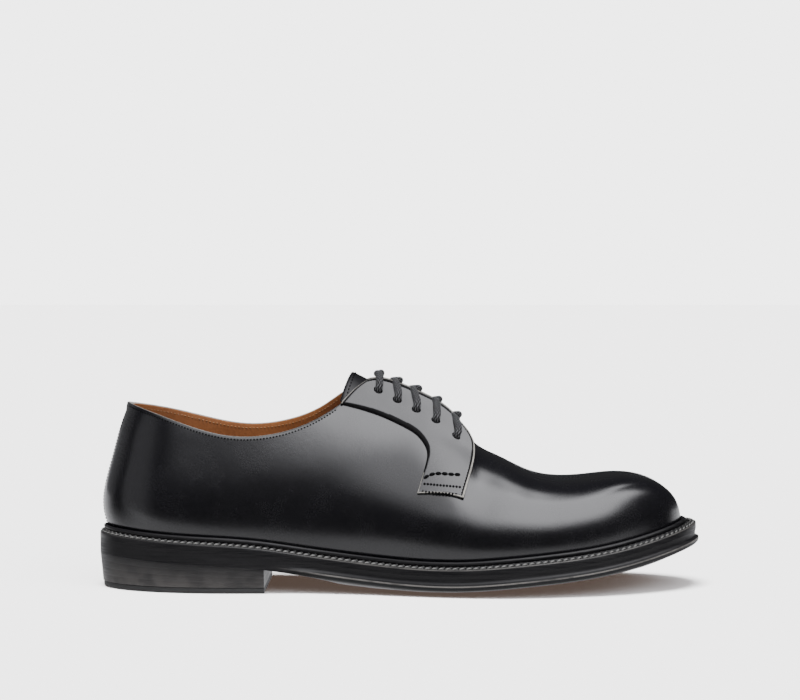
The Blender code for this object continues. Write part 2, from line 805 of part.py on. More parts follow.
def make_lift_skin():
    """Rubber top lift that the heel stands on, with its lower edge eased."""
    levels = ((LIFT_THICKNESS, HEEL_TAPER), (LIFT_THICKNESS * 0.25, HEEL_TAPER),
              (0.0, HEEL_TAPER + LIFT_THICKNESS * 0.25))
    return loft(heel_sections(levels), capped=(False, True))


def make_insole_skin():
    """Insole inside the upper, with a narrower underside let in between the welt's flanges."""
    sections = []
    wide = UPPER_WALL + 2 * GAP
    narrow = WELT_FLANGE + GAP
    profile = ((wide, INSOLE_THICKNESS), (wide, 0.0), (narrow, 0.0), (narrow, -WELT_THICKNESS))
    for t in length_rows():
        sides = [[edge_point(t, side, -inset, height) for inset, height in profile]
                 for side in (LATERAL, MEDIAL)]
        sections.append(sides[0] + sides[1][::-1])
    return loft(np.array(sections))


def main():
    """Build the shoe's sub-parts in one collection and their cutters in another."""
    for existing in list(bpy.data.objects):
        bpy.data.objects.remove(existing, do_unlink=True)
    shoe = bpy.data.collections.new("derby_shoe")
    tools = bpy.data.collections.new("cutters")
    for collection in (shoe, tools):
        bpy.context.scene.collection.children.link(collection)

    black_leather = make_material("black_leather", (0.012, 0.012, 0.014), 0.16)
    tan_leather = make_material("tan_leather", (0.36, 0.15, 0.055), 0.55)
    sole_leather = make_material("sole_leather", (0.03, 0.03, 0.032), 0.35)
    lace_cotton = make_material("lace_cotton", (0.02, 0.02, 0.022), 0.60)
    rubber = make_material("rubber", (0.015, 0.015, 0.016), 0.70)

    skins = (
        ("upper", make_upper_skin(), black_leather),
        ("facing_lateral", make_facing_skin(LATERAL), black_leather),
        ("facing_medial", make_facing_skin(MEDIAL), black_leather),
        ("tongue", make_tongue_skin(), black_leather),
        ("insole", make_insole_skin(), tan_leather),
        ("welt", make_welt_skin(), sole_leather),
        ("outsole", make_outsole_skin(), sole_leather),
        ("heel_stack", make_heel_skin(), sole_leather),
        ("heel_top_lift", make_lift_skin(), rubber),
    )
    parts = {name: add_object(name, skin.make_mesh(name), material, shoe)
             for name, skin, material in skins}
    for side, facing in ((LATERAL, "facing_lateral"), (MEDIAL, "facing_medial")):
        cutters = make_hole_cutters(side, tools)
        cut_holes(parts[facing], cutters)
        cut_holes(parts["upper"], cutters)
    for k, (t, up) in enumerate(eyelets()):
        make_lace_bar(f"lace_bar_{k + 1}", t, up, lace_cotton, shoe)


main()
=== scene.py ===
"""Looks of the plain-toe derby shoe: fine leather, laces, seams and sole, and a plain studio.

Frame: metres, +X to the toe, -Y to the outer (lateral) side, +Z up, floor at z = 0. The last's
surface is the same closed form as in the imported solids, so every piece sits on its own solid.
"""

import logging
import math
from collections.abc import Callable, Sequence
from dataclasses import dataclass, field
from enum import Enum, IntEnum
from typing import NamedTuple

import bmesh
import bpy
import numpy as np
from mathutils import Matrix, Vector


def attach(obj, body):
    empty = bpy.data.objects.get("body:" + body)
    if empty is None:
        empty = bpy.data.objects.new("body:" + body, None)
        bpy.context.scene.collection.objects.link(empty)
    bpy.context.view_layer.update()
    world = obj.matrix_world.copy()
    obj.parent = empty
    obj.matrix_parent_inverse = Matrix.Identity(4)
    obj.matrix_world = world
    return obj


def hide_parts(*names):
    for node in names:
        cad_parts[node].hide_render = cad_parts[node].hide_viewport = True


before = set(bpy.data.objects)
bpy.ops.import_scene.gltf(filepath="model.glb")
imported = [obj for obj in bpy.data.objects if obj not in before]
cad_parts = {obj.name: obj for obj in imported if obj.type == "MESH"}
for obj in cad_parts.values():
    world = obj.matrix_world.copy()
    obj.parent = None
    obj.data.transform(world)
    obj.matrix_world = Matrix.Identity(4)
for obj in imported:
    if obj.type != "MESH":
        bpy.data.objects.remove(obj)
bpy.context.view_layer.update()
LOG = logging.getLogger("derby_shoe")
MERGE_DISTANCE = 1e-6
SHARP_ANGLE = math.radians(50)
SMALL_SHARE = 1e-4
HALVINGS = 40
FINE_STEPS = 8


class Side(Enum):
    """Outer (lateral) or inner (medial) side of the shoe."""

    LATERAL = -1
    MEDIAL = 1


class LinedFace(IntEnum):
    """Order of the finishes on the upper and the tongue."""

    CALF = 0
    LINING = 1
    EDGE = 2


class StrapFace(IntEnum):
    """Order of the finishes on a facing: calf, a pale painted highlight along its edges, and a dark finish
    for dyed edges and painted shade.
    """

    CALF = 0
    PALE_EDGE = 1
    DARK_EDGE = 2


class Socket(Enum):
    """Shader sockets that a finish sets."""

    COLOUR = "Base Color"
    ROUGHNESS = "Roughness"
    COAT = "Coat Weight"
    COAT_ROUGHNESS = "Coat Roughness"
    SPECULAR = "Specular IOR Level"
    NORMAL = "Normal"
    COAT_NORMAL = "Coat Normal"
    GLOW = "Emission Color"
    GLOW_STRENGTH = "Emission Strength"


class Outline(NamedTuple):
    """Plan of the feather line, as shares of half the ball width."""

    along: float
    half: float
    swing: float


class Ridge(NamedTuple):
    """Ridge of the last: height as a share of the instep rise, and sideways place."""

    along: float
    height: float
    swing: float


class Rise(NamedTuple):
    """Rise of the welt's top face from the heel pitch and the toe spring."""

    along: float
    heel: float
    toe: float


class Section(NamedTuple):
    """Control points of the half section, from the feather line to the ridge."""

    along: float
    bulge_in: float
    bulge_up: float
    wall_in: float
    wall_up: float
    shoulder_in: float
    shoulder_up: float
    crown_in: float
    crown_up: float


class Collar(NamedTuple):
    """Collar edge over the welt, as shares of three heights."""

    along: float
    back: float
    instep: float
    medial: float


class FacingRow(NamedTuple):
    """Outer and inner edge of a facing, as shares of the length and of the section."""

    outer_along: float
    outer_up: float
    inner_along: float
    inner_up: float


class TongueRow(NamedTuple):
    """Half width of the tongue and the lift of its free end."""

    along: float
    half: float
    lift: float


class BarDrift(NamedTuple):
    """Drift of a bar of lace to the toe, on either side of the crest, and its drop at the crest."""

    near: float
    far: float
    drop: float


class Spot(NamedTuple):
    """A place on the last: share of the length and share of the section."""

    along: float
    up: float


class Crease(NamedTuple):
    """Soft trough across the leather: place, depth and widths, and its drift on the way down."""

    along: float
    depth: float
    along_width: float
    up: float
    up_width: float
    drift: float


class EdgeRow(NamedTuple):
    """One line round an edge: how far out it lies, its height and how much pale rim colour it takes."""

    out: float | np.ndarray
    height: float | np.ndarray
    pale_rim: float = 0.0


class HeelLevel(NamedTuple):
    """One line round the heel: share of the piece's height, inset and how much pale rim colour it takes."""

    share: float
    inset: float
    pale_rim: float = 0.0


OUTLINE = (
    Outline(0.000, 0.000, 0.000),
    Outline(0.040, 0.400, 0.000),
    Outline(0.100, 0.580, 0.000),
    Outline(0.190, 0.664, -0.005),
    Outline(0.280, 0.650, -0.012),
    Outline(0.370, 0.612, -0.040),
    Outline(0.450, 0.650, -0.075),
    Outline(0.540, 0.800, -0.075),
    Outline(0.630, 0.948, -0.030),
    Outline(0.700, 1.000, 0.012),
    Outline(0.770, 0.965, 0.040),
    Outline(0.840, 0.868, 0.056),
    Outline(0.910, 0.680, 0.072),
    Outline(0.965, 0.446, 0.082),
    Outline(1.000, 0.000, 0.086),
)
RIDGE = (
    Ridge(0.000, 1.028, 0.000),
    Ridge(0.120, 1.068, 0.000),
    Ridge(0.260, 1.080, 0.000),
    Ridge(0.360, 1.083, 0.020),
    Ridge(0.430, 1.066, 0.050),
    Ridge(0.490, 1.003, 0.080),
    Ridge(0.540, 0.935, 0.100),
    Ridge(0.590, 0.828, 0.120),
    Ridge(0.640, 0.650, 0.130),
    Ridge(0.680, 0.568, 0.130),
    Ridge(0.730, 0.472, 0.130),
    Ridge(0.780, 0.419, 0.130),
    Ridge(0.830, 0.402, 0.125),
    Ridge(0.880, 0.393, 0.120),
    Ridge(0.930, 0.345, 0.110),
    Ridge(0.968, 0.256, 0.096),
    Ridge(0.990, 0.156, 0.090),
    Ridge(1.000, 0.000, 0.086),
)
RISE = (
    Rise(0.00, 1.00, 0.00),
    Rise(0.12, 0.82, 0.00),
    Rise(0.26, 0.64, 0.00),
    Rise(0.34, 0.40, 0.00),
    Rise(0.44, 0.14, 0.00),
    Rise(0.54, 0.00, 0.00),
    Rise(0.62, 0.00, 0.01),
    Rise(0.70, 0.00, 0.12),
    Rise(0.79, 0.00, 0.27),
    Rise(0.88, 0.00, 0.50),
    Rise(0.95, 0.00, 0.77),
    Rise(1.00, 0.00, 1.00),
)
SECTIONS = (
    Section(0.00, -0.10, 0.070, -0.165, 0.200, 0.060, 0.450, 0.300, 0.850),
    Section(0.10, -0.09, 0.075, -0.150, 0.200, -0.010, 0.450, 0.240, 0.880),
    Section(0.24, -0.08, 0.080, -0.130, 0.220, -0.030, 0.500, 0.220, 0.950),
    Section(0.38, -0.10, 0.090, -0.170, 0.260, 0.000, 0.620, 0.420, 1.000),
    Section(0.50, -0.10, 0.100, -0.170, 0.330, 0.200, 0.740, 0.700, 1.000),
    Section(0.62, -0.07, 0.120, -0.110, 0.400, 0.230, 0.830, 0.640, 1.000),
    Section(0.74, -0.05, 0.140, -0.080, 0.480, 0.180, 0.930, 0.560, 1.000),
    Section(0.88, -0.04, 0.160, -0.060, 0.560, 0.160, 0.980, 0.540, 1.000),
    Section(1.00, -0.03, 0.200, -0.040, 0.600, 0.200, 1.000, 0.560, 1.000),
)
COLLAR = (
    Collar(0.000, 1.00, 0.00, 0.00),
    Collar(0.060, 0.97, 0.00, 0.30),
    Collar(0.114, 0.92, 0.00, 0.70),
    Collar(0.165, 0.86, 0.00, 1.00),
    Collar(0.234, 0.76, 0.05, 1.00),
    Collar(0.285, 0.60, 0.20, 1.00),
    Collar(0.336, 0.40, 0.42, 1.00),
    Collar(0.370, 0.25, 0.60, 1.10),
    Collar(0.405, 0.10, 0.80, 1.30),
    Collar(0.447, 0.00, 1.00, 0.80),
    Collar(0.500, 0.00, 1.20, 0.50),
)
FACING = (
    FacingRow(0.445, 0.868, 0.403, 0.762),
    FacingRow(0.478, 0.928, 0.438, 0.747),
    FacingRow(0.517, 0.950, 0.474, 0.733),
    FacingRow(0.556, 0.955, 0.508, 0.711),
    FacingRow(0.593, 0.962, 0.533, 0.685),
    FacingRow(0.622, 0.930, 0.547, 0.646),
    FacingRow(0.631, 0.810, 0.552, 0.604),
    FacingRow(0.629, 0.680, 0.550, 0.553),
    FacingRow(0.622, 0.552, 0.544, 0.488),
    FacingRow(0.613, 0.425, 0.535, 0.397),
)
THROAT = (
    Spot(0.400, 0.830),
    Spot(0.445, 0.850),
    Spot(0.478, 0.908),
    Spot(0.517, 0.930),
    Spot(0.556, 0.936),
    Spot(0.615, 0.940),
)
TOP_EYELET = Spot(0.466, 0.842)
BOTTOM_EYELET = Spot(0.599, 0.766)
BAR_DRIFTS = (
    BarDrift(-0.0006, 0.0010, 0.0022),
    BarDrift(-0.0026, 0.0004, 0.0013),
    BarDrift(-0.0034, 0.0004, 0.0010),
    BarDrift(-0.0012, 0.0010, 0.0014),
    BarDrift(-0.0030, 0.0000, 0.0004),
)
TONGUE = (
    TongueRow(0.405, 0.86, 1.00),
    TongueRow(0.425, 0.90, 0.50),
    TongueRow(0.447, 0.94, 0.10),
    TongueRow(0.500, 0.96, 0.00),
    TongueRow(0.560, 0.92, 0.00),
    TongueRow(0.620, 0.75, 0.00),
    TongueRow(0.660, 0.55, 0.00),
)


def angle_share(along: float | np.ndarray) -> np.ndarray:
    """Share of the half turn that goes with a share of the length."""
    return np.arccos(1 - 2 * np.asarray(along, float)) / math.pi


def along_share(t: float | np.ndarray) -> np.ndarray:
    """Share of the length at a share of the half turn."""
    return (1 - np.cos(math.pi * np.asarray(t, float))) / 2


def ramp(value: float | np.ndarray, start: float, end: float) -> np.ndarray:
    """Smooth step from 0 at start to 1 at end."""
    share = np.clip((np.asarray(value, float) - start) / (end - start), 0, 1)
    return share * share * (3 - 2 * share)


def bump_shape(value: float | np.ndarray, centre: float, width: float) -> np.ndarray:
    """Bell curve of height 1 at its centre, falling to a third at its width."""
    return np.exp(-((np.asarray(value, float) - centre) / width) ** 2)


def unit(vectors: np.ndarray) -> np.ndarray:
    """Vectors of length one along the last axis."""
    size = np.linalg.norm(vectors, axis=-1, keepdims=True)
    return vectors / np.maximum(size, 1e-12)


def reach_along(path: np.ndarray) -> np.ndarray:
    """Distance along a path from its first point to each one."""
    return np.concatenate([[0], np.cumsum(np.linalg.norm(np.diff(path, axis=0), axis=1))])


def read_at(places: float | np.ndarray, reach: np.ndarray, rows: np.ndarray) -> np.ndarray:
    """Rows of x, y and z at given distances along a path."""
    return np.stack([np.interp(places, reach, rows[:, k]) for k in range(3)], -1)


class Spline:
    """Smooth curve through points, level or free at each end."""

    def __init__(self, xs: Sequence[float], ys: Sequence[float], level_start: bool = False,
                 level_end: bool = False) -> None:
        """Fit the curve.

        Args:
            xs: Places of the points, rising.
            ys: Values at those places.
            level_start: Whether the curve starts level.
            level_end: Whether the curve ends level.
        """
        self.xs = np.asarray(xs, float)
        self.ys = np.asarray(ys, float)
        self.step = np.diff(self.xs)
        self.slope = np.diff(self.ys) / self.step
        count = len(self.xs)
        matrix = np.zeros((count, count))
        load = np.zeros(count)
        for i in range(1, count - 1):
            matrix[i, i - 1:i + 2] = self.step[i - 1], 2 * (self.step[i - 1] + self.step[i]), self.step[i]
            load[i] = 6 * (self.slope[i] - self.slope[i - 1])
        matrix[0, 0] = matrix[-1, -1] = 1
        if level_start:
            matrix[0, :2] = 2, 1
            load[0] = 6 * self.slope[0] / self.step[0]
        if level_end:
            matrix[-1, -2:] = 1, 2
            load[-1] = -6 * self.slope[-1] / self.step[-1]
        self.bend = np.linalg.solve(matrix, load)

    def __call__(self, x: float | np.ndarray) -> np.ndarray:
        """Value of the curve at each place."""
        x = np.asarray(x, float)
        i = np.clip(np.searchsorted(self.xs, x) - 1, 0, len(self.xs) - 2)
        d = x - self.xs[i]
        h = self.step[i]
        bend = self.bend
        return (self.ys[i] + d * (self.slope[i] - h * (2 * bend[i] + bend[i + 1]) / 6)
                + d ** 2 * bend[i] / 2 + d ** 3 * (bend[i + 1] - bend[i]) / (6 * h))


def track(table: Sequence[NamedTuple], column: str, free_ends: Sequence[str] = ()) -> Spline:
    """Smooth curve through one column of a table, over the share of the half turn.

    Args:
        table: Rows that hold a share of the length and the column.
        column: Name of the column.
        free_ends: Which of "heel" and "toe" aren't level.

    Returns:
        The curve.
    """
    xs = angle_share([row.along for row in table])
    ys = [getattr(row, column) for row in table]
    return Spline(xs, ys, "heel" not in free_ends, "toe" not in free_ends)


def through(points: np.ndarray, count: int) -> np.ndarray:
    """Smooth run of evenly spaced points through a few given ones.

    Args:
        points: Points in order, one a row.
        count: How many points to return.

    Returns:
        Points at even distances along the smooth curve.
    """
    reach = reach_along(points)
    fine = np.linspace(0, reach[-1], FINE_STEPS * count)
    dense = np.stack([Spline(reach, points[:, k])(fine) for k in range(3)], -1)
    length = reach_along(dense)
    return read_at(np.linspace(0, length[-1], count), length, dense)


@dataclass
class Last:
    """The form that the shoe is made over: t runs from heel to toe, v from feather line to ridge."""

    length: float = 0.2895
    ball_width: float = 0.093
    instep_rise: float = 0.088
    heel_pitch: float = 0.0138
    toe_spring: float = 0.0166
    heel_fan: float = 0.034
    heel_fan_blend: float = 0.007
    heel_fan_end: tuple[float, float] = (0.2, 0.4)
    ball_height: float = 0.0137
    welt_reach_heel: float = 0.0058
    welt_reach_toe: float = 0.0078
    welt_widening: tuple[float, float] = (0.4, 1.0)
    lip_reach: float = 0.0014
    side_shift: float = field(init=False, default=0.0)

    def __post_init__(self) -> None:
        """Fit the curves, then centre the sole on the origin."""
        self.half = track(OUTLINE, "half", ("heel", "toe"))
        self.swing = track(OUTLINE, "swing")
        self.ridge_height = track(RIDGE, "height", ("toe",))
        self.ridge_swing = track(RIDGE, "swing")
        along = [row.along for row in RISE]
        self.heel_rise = Spline(along, [row.heel for row in RISE], False, True)
        self.toe_rise = Spline(along, [row.toe for row in RISE], True, False)
        self.controls = {name: track(SECTIONS, name) for name in Section._fields[1:]}
        overall = self.length + self.welt_reach_heel + self.welt_reach_toe + self.lip_reach
        self.heel_x = self.welt_reach_heel - overall / 2
        t = np.linspace(0, 1, 400)
        out = self.welt_reach(t) + self.lip_reach
        low = self.offset_plan(t, Side.LATERAL, out)[1].min()
        high = self.offset_plan(t, Side.MEDIAL, out)[1].max()
        self.side_shift = -(low + high) / 2

    def welt_level(self, x: float | np.ndarray) -> np.ndarray:
        """Height of the welt's top face over the floor."""
        along = (np.asarray(x, float) - self.heel_x) / self.length
        rise = self.heel_pitch * self.heel_rise(along) + self.toe_spring * self.toe_rise(along)
        return self.ball_height + rise

    def welt_reach(self, t: float | np.ndarray) -> np.ndarray:
        """How far the welt stands out from the feather line."""
        grow = ramp(along_share(t), *self.welt_widening)
        return self.welt_reach_heel + (self.welt_reach_toe - self.welt_reach_heel) * grow

    def plan(self, t: float | np.ndarray, side: Side) -> tuple[np.ndarray, np.ndarray]:
        """Feather line seen from above: x and y."""
        t = np.asarray(t, float)
        x = self.heel_x + self.length * along_share(t)
        y = self.ball_width / 2 * (self.swing(t) + side.value * self.half(t)) + self.side_shift
        return x, y

    def plan_normal(self, t: float | np.ndarray, side: Side) -> tuple[np.ndarray, np.ndarray]:
        """Outward direction of the feather line, straight back at the heel and on at the toe."""
        t = np.asarray(t, float)
        ahead = self.plan(np.minimum(t + SMALL_SHARE, 1), side)
        behind = self.plan(np.maximum(t - SMALL_SHARE, 0), side)
        dx = ahead[0] - behind[0]
        dy = ahead[1] - behind[1]
        size = np.hypot(dx, dy)
        ends = (t <= 0) | (t >= 1)
        nx = np.where(ends, np.sign(t - 0.5), -side.value * dy / size)
        ny = np.where(ends, 0, side.value * dx / size)
        return nx, ny

    def offset_plan(self, t: float | np.ndarray, side: Side,
                    out: float | np.ndarray) -> tuple[np.ndarray, np.ndarray]:
        """Plan of the feather line moved outwards."""
        x, y = self.plan(t, side)
        nx, ny = self.plan_normal(t, side)
        return x + nx * out, y + ny * out

    @staticmethod
    def spline_weights(v: np.ndarray) -> list[np.ndarray]:
        """Weights of the six control points of a clamped cubic B-spline."""
        knots = np.array([0, 0, 0, 0, 1, 2, 3, 3, 3, 3]) / 3
        v = np.clip(np.asarray(v, float), 0, 1 - 1e-9)
        weights = [((v >= knots[i]) & (v < knots[i + 1])).astype(float) for i in range(9)]
        for degree in (1, 2, 3):
            raised = []
            for i in range(9 - degree):
                total = np.zeros_like(v)
                if knots[i + degree] > knots[i]:
                    total += (v - knots[i]) / (knots[i + degree] - knots[i]) * weights[i]
                if knots[i + degree + 1] > knots[i + 1]:
                    span = knots[i + degree + 1] - knots[i + 1]
                    total += (knots[i + degree + 1] - v) / span * weights[i + 1]
                raised.append(total)
            weights = raised
        return weights

    def surface(self, t: float | np.ndarray, side: Side, v: float | np.ndarray) -> np.ndarray:
        """Point of the last."""
        t, v = np.broadcast_arrays(np.asarray(t, float), np.asarray(v, float))
        foot_x, foot_y = self.plan(t, side)
        foot_z = self.welt_level(foot_x)
        fan = np.log1p(np.exp((self.heel_x + self.heel_fan - foot_x) / self.heel_fan_blend))
        fade = 1 - ramp(along_share(t), *self.heel_fan_end)
        ridge_x = foot_x + self.heel_fan_blend * fan * fade
        ridge_y = self.ball_width / 2 * self.ridge_swing(t) + self.side_shift
        weights = self.spline_weights(v)
        inward, upward = (
            weights[5] + sum(weight * self.controls[f"{name}_{way}"](t)
                             for weight, name in zip(weights[1:], ("bulge", "wall", "shoulder", "crown")))
            for way in ("in", "up"))
        return np.stack([foot_x + (ridge_x - foot_x) * inward,
                         foot_y + (ridge_y - foot_y) * inward,
                         foot_z + self.instep_rise * self.ridge_height(t) * upward], -1)

    def raw_normal(self, t: np.ndarray, side: Side, v: np.ndarray) -> np.ndarray:
        """Outward normal of one side of the last, from two small steps along it."""
        t = np.clip(t, SMALL_SHARE, 1 - SMALL_SHARE)
        v = np.clip(v, SMALL_SHARE, 1 - SMALL_SHARE)
        forward = self.surface(t + SMALL_SHARE, side, v) - self.surface(t - SMALL_SHARE, side, v)
        upward = self.surface(t, side, v + SMALL_SHARE) - self.surface(t, side, v - SMALL_SHARE)
        return unit(-side.value * np.cross(forward, upward))

    def normal(self, t: float | np.ndarray, side: Side, v: float | np.ndarray) -> np.ndarray:
        """Outward normal, on which both sides agree along the heel line and the ridge."""
        t, v = np.broadcast_arrays(np.asarray(t, float), np.asarray(v, float))
        normal = self.raw_normal(t, side, v)
        other = self.raw_normal(t, Side(-side.value), v)
        shared = (t <= 0) | (v >= 1)
        normal = np.where(shared[..., None], normal + other, normal)
        return unit(np.where((t >= 1)[..., None], np.array([1.0, 0.0, 0.0]), normal))

    def point(self, t: float | np.ndarray, side: Side, v: float | np.ndarray,
              offset: float | np.ndarray) -> np.ndarray:
        """Point at a distance outside the last."""
        return self.surface(t, side, v) + self.normal(t, side, v) * np.asarray(offset)[..., None]

    def share_per_metre(self, t: np.ndarray, side: Side, v: np.ndarray) -> np.ndarray:
        """Change of v for a metre up along the section."""
        rise = 10 * SMALL_SHARE
        v = np.minimum(v, 1 - rise)
        step = self.surface(t, side, v + rise) - self.surface(t, side, v)
        return rise / np.maximum(np.linalg.norm(step, axis=-1), 1e-9)

    def share_where(self, measure: Callable[[np.ndarray], np.ndarray], target: np.ndarray,
                    low: float = 0.0) -> np.ndarray:
        """Share v at which a rising measure reaches its target, by halving.

        Args:
            measure: Function of v that rises.
            target: Value to reach at each station.
            low: Lowest share to look at.

        Returns:
            The shares, in the target's shape.
        """
        bottom = np.full(target.shape, low)
        top = np.ones(target.shape)
        for _ in range(HALVINGS):
            middle = (bottom + top) / 2
            below = measure(middle) < target
            bottom = np.where(below, middle, bottom)
            top = np.where(below, top, middle)
        return (bottom + top) / 2

    def share_at_height(self, t: np.ndarray, side: Side, height: float | np.ndarray) -> np.ndarray:
        """Share v at which the section is that high above the welt."""
        t = np.asarray(t, float)
        level = self.welt_level(self.plan(t, side)[0])
        return self.share_where(lambda v: self.surface(t, side, v)[..., 2] - level,
                                np.broadcast_to(height, t.shape).astype(float))

    def share_at_ridge_distance(self, t: np.ndarray, side: Side, distance: np.ndarray) -> np.ndarray:
        """Share v at which the section lies that far to the side of the ridge."""
        ridge_y = self.ball_width / 2 * self.ridge_swing(t) + self.side_shift
        return self.share_where(lambda v: -np.abs(self.surface(t, side, v)[..., 1] - ridge_y),
                                -np.asarray(distance, float), low=0.2)


class Draft:
    """Points, faces and shares of one mesh, gathered before it becomes an object."""

    def __init__(self) -> None:
        """Start with nothing in it."""
        self.points: list[list[float]] = []
        self.faces: list[tuple[int, ...]] = []
        self.finishes: list[int] = []
        self.shares: dict[str, list[float]] = {}

    def add_points(self, points: np.ndarray, **shares: np.ndarray) -> np.ndarray:
        """Store points with named values.

        Args:
            points: Array of any shape that ends in x, y and z.
            shares: Values for the same points, which a material reads by their name.

        Returns:
            The points' numbers in the shape of the array.
        """
        points = np.asarray(points, float)
        first = len(self.points)
        self.points.extend(points.reshape(-1, 3).tolist())
        for name in set(self.shares) | set(shares):
            row = self.shares.setdefault(name, [0.0] * first)
            values = np.broadcast_to(shares.get(name, 0.0), points.shape[:-1])
            row.extend(values.reshape(-1).astype(float).tolist())
        return np.arange(first, len(self.points)).reshape(points.shape[:-1])

    def add_face(self, numbers: Sequence[int], finish: int = 0) -> None:
        """Add one face with a finish."""
        self.faces.append(tuple(int(number) for number in numbers))
        self.finishes.append(finish)

    def add_strip(self, first: np.ndarray, second: np.ndarray, finish: int = 0) -> None:
        """Join two rows of points with four-sided faces."""
        for quad in zip(first[:-1], first[1:], second[1:], second[:-1]):
            self.add_face(quad, finish)

    def add_grid(self, numbers: np.ndarray, finish: int = 0) -> None:
        """Join all rows of a grid of points."""
        for first, second in zip(numbers[:-1], numbers[1:]):
            self.add_strip(first, second, finish)

    def add_closed_grid(self, numbers: np.ndarray) -> None:
        """Join all rows of a grid whose last column meets its first one."""
        self.add_grid(np.concatenate([numbers, numbers[:, :1]], axis=1))

    def add_tube(self, rings: np.ndarray, **shares: np.ndarray) -> None:
        """Closed tube through rings of points, capped at both ends."""
        numbers = self.add_points(rings, **shares)
        self.add_closed_grid(numbers)
        self.add_face(numbers[0])
        self.add_face(numbers[-1])

    def join_edges(self, face: np.ndarray, back: np.ndarray, finish: int) -> None:
        """Join the four edges of two grids that lie one over the other."""
        for edge in (np.s_[0, :], np.s_[-1, :], np.s_[:, 0], np.s_[:, -1]):
            self.add_strip(face[edge], back[edge], finish)

    def make_object(self, name: str, finishes: Sequence[bpy.types.Material]) -> bpy.types.Object:
        """Weld the points into one mesh object with its faces pointing out.

        Args:
            name: Name of the piece.
            finishes: Materials in the order of the finish numbers.

        Returns:
            The new object in the scene.
        """
        mesh = bpy.data.meshes.new(name)
        mesh.from_pydata(self.points, [], self.faces)
        for finish in finishes:
            mesh.materials.append(finish)
        mesh.polygons.foreach_set("material_index", self.finishes)
        for share, values in self.shares.items():
            mesh.attributes.new(share, "FLOAT", "POINT").data.foreach_set("value", values)
        work = bmesh.new()
        work.from_mesh(mesh)
        bmesh.ops.remove_doubles(work, verts=work.verts, dist=MERGE_DISTANCE)
        bmesh.ops.recalc_face_normals(work, faces=work.faces)
        work.to_mesh(mesh)
        work.free()
        mesh.shade_smooth()
        mesh.set_sharp_from_angle(angle=SHARP_ANGLE)
        piece = bpy.data.objects.new(name, mesh)
        bpy.context.scene.collection.objects.link(piece)
        return piece


def declare(piece: bpy.types.Object, slot: str, *nodes: str) -> None:
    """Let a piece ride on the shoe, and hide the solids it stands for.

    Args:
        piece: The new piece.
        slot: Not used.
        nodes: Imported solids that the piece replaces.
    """
    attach(piece, "root")
    if nodes:
        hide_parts(*nodes)
    LOG.info("%s: %d faces", piece.name, len(piece.data.polygons))


@dataclass(frozen=True)
class StrapLean:
    """Outward lean of a laced strap's shading, by its distance across the shoe from the ridge."""

    centre: float = 0.004
    near: float = 0.019
    far: float = 0.036
    amount: float = 1.0
    flatten: float = 0.4


class Nodes:
    """Shader nodes of a material or a room, joined from the inside out."""

    def __init__(self, tree: bpy.types.NodeTree) -> None:
        """Take the tree that the nodes go in."""
        self.tree = tree

    def add(self, kind: str, **settings: object) -> bpy.types.Node:
        """Add a node and set its properties."""
        node = self.tree.nodes.new(kind)
        for name, value in settings.items():
            setattr(node, name, value)
        return node

    def join(self, source: bpy.types.NodeSocket | float | Sequence[float],
             target: bpy.types.NodeSocket) -> None:
        """Link a socket, or set a plain value."""
        if isinstance(source, bpy.types.NodeSocket):
            self.tree.links.new(source, target)
        else:
            target.default_value = source

    def math(self, operation: str, *values: bpy.types.NodeSocket | float) -> bpy.types.NodeSocket:
        """One sum on sockets or plain numbers."""
        node = self.add("ShaderNodeMath", operation=operation)
        for value, socket in zip(values, node.inputs):
            self.join(value, socket)
        return node.outputs[0]

    def fade(self, value: bpy.types.NodeSocket, start: float, end: float, low: float = 0.0,
             high: float = 1.0) -> bpy.types.NodeSocket:
        """Smooth change from low to high between two values of a socket."""
        node = self.add("ShaderNodeMapRange", interpolation_type="SMOOTHSTEP")
        self.join(value, node.inputs["Value"])
        for name, number in (("From Min", start), ("From Max", end), ("To Min", low), ("To Max", high)):
            node.inputs[name].default_value = number
        return node.outputs["Result"]

    def vector(self, *values: bpy.types.NodeSocket | float) -> bpy.types.NodeSocket:
        """Vector with the given x, y and z."""
        node = self.add("ShaderNodeCombineXYZ")
        for value, socket in zip(values, node.inputs):
            self.join(value, socket)
        return node.outputs[0]


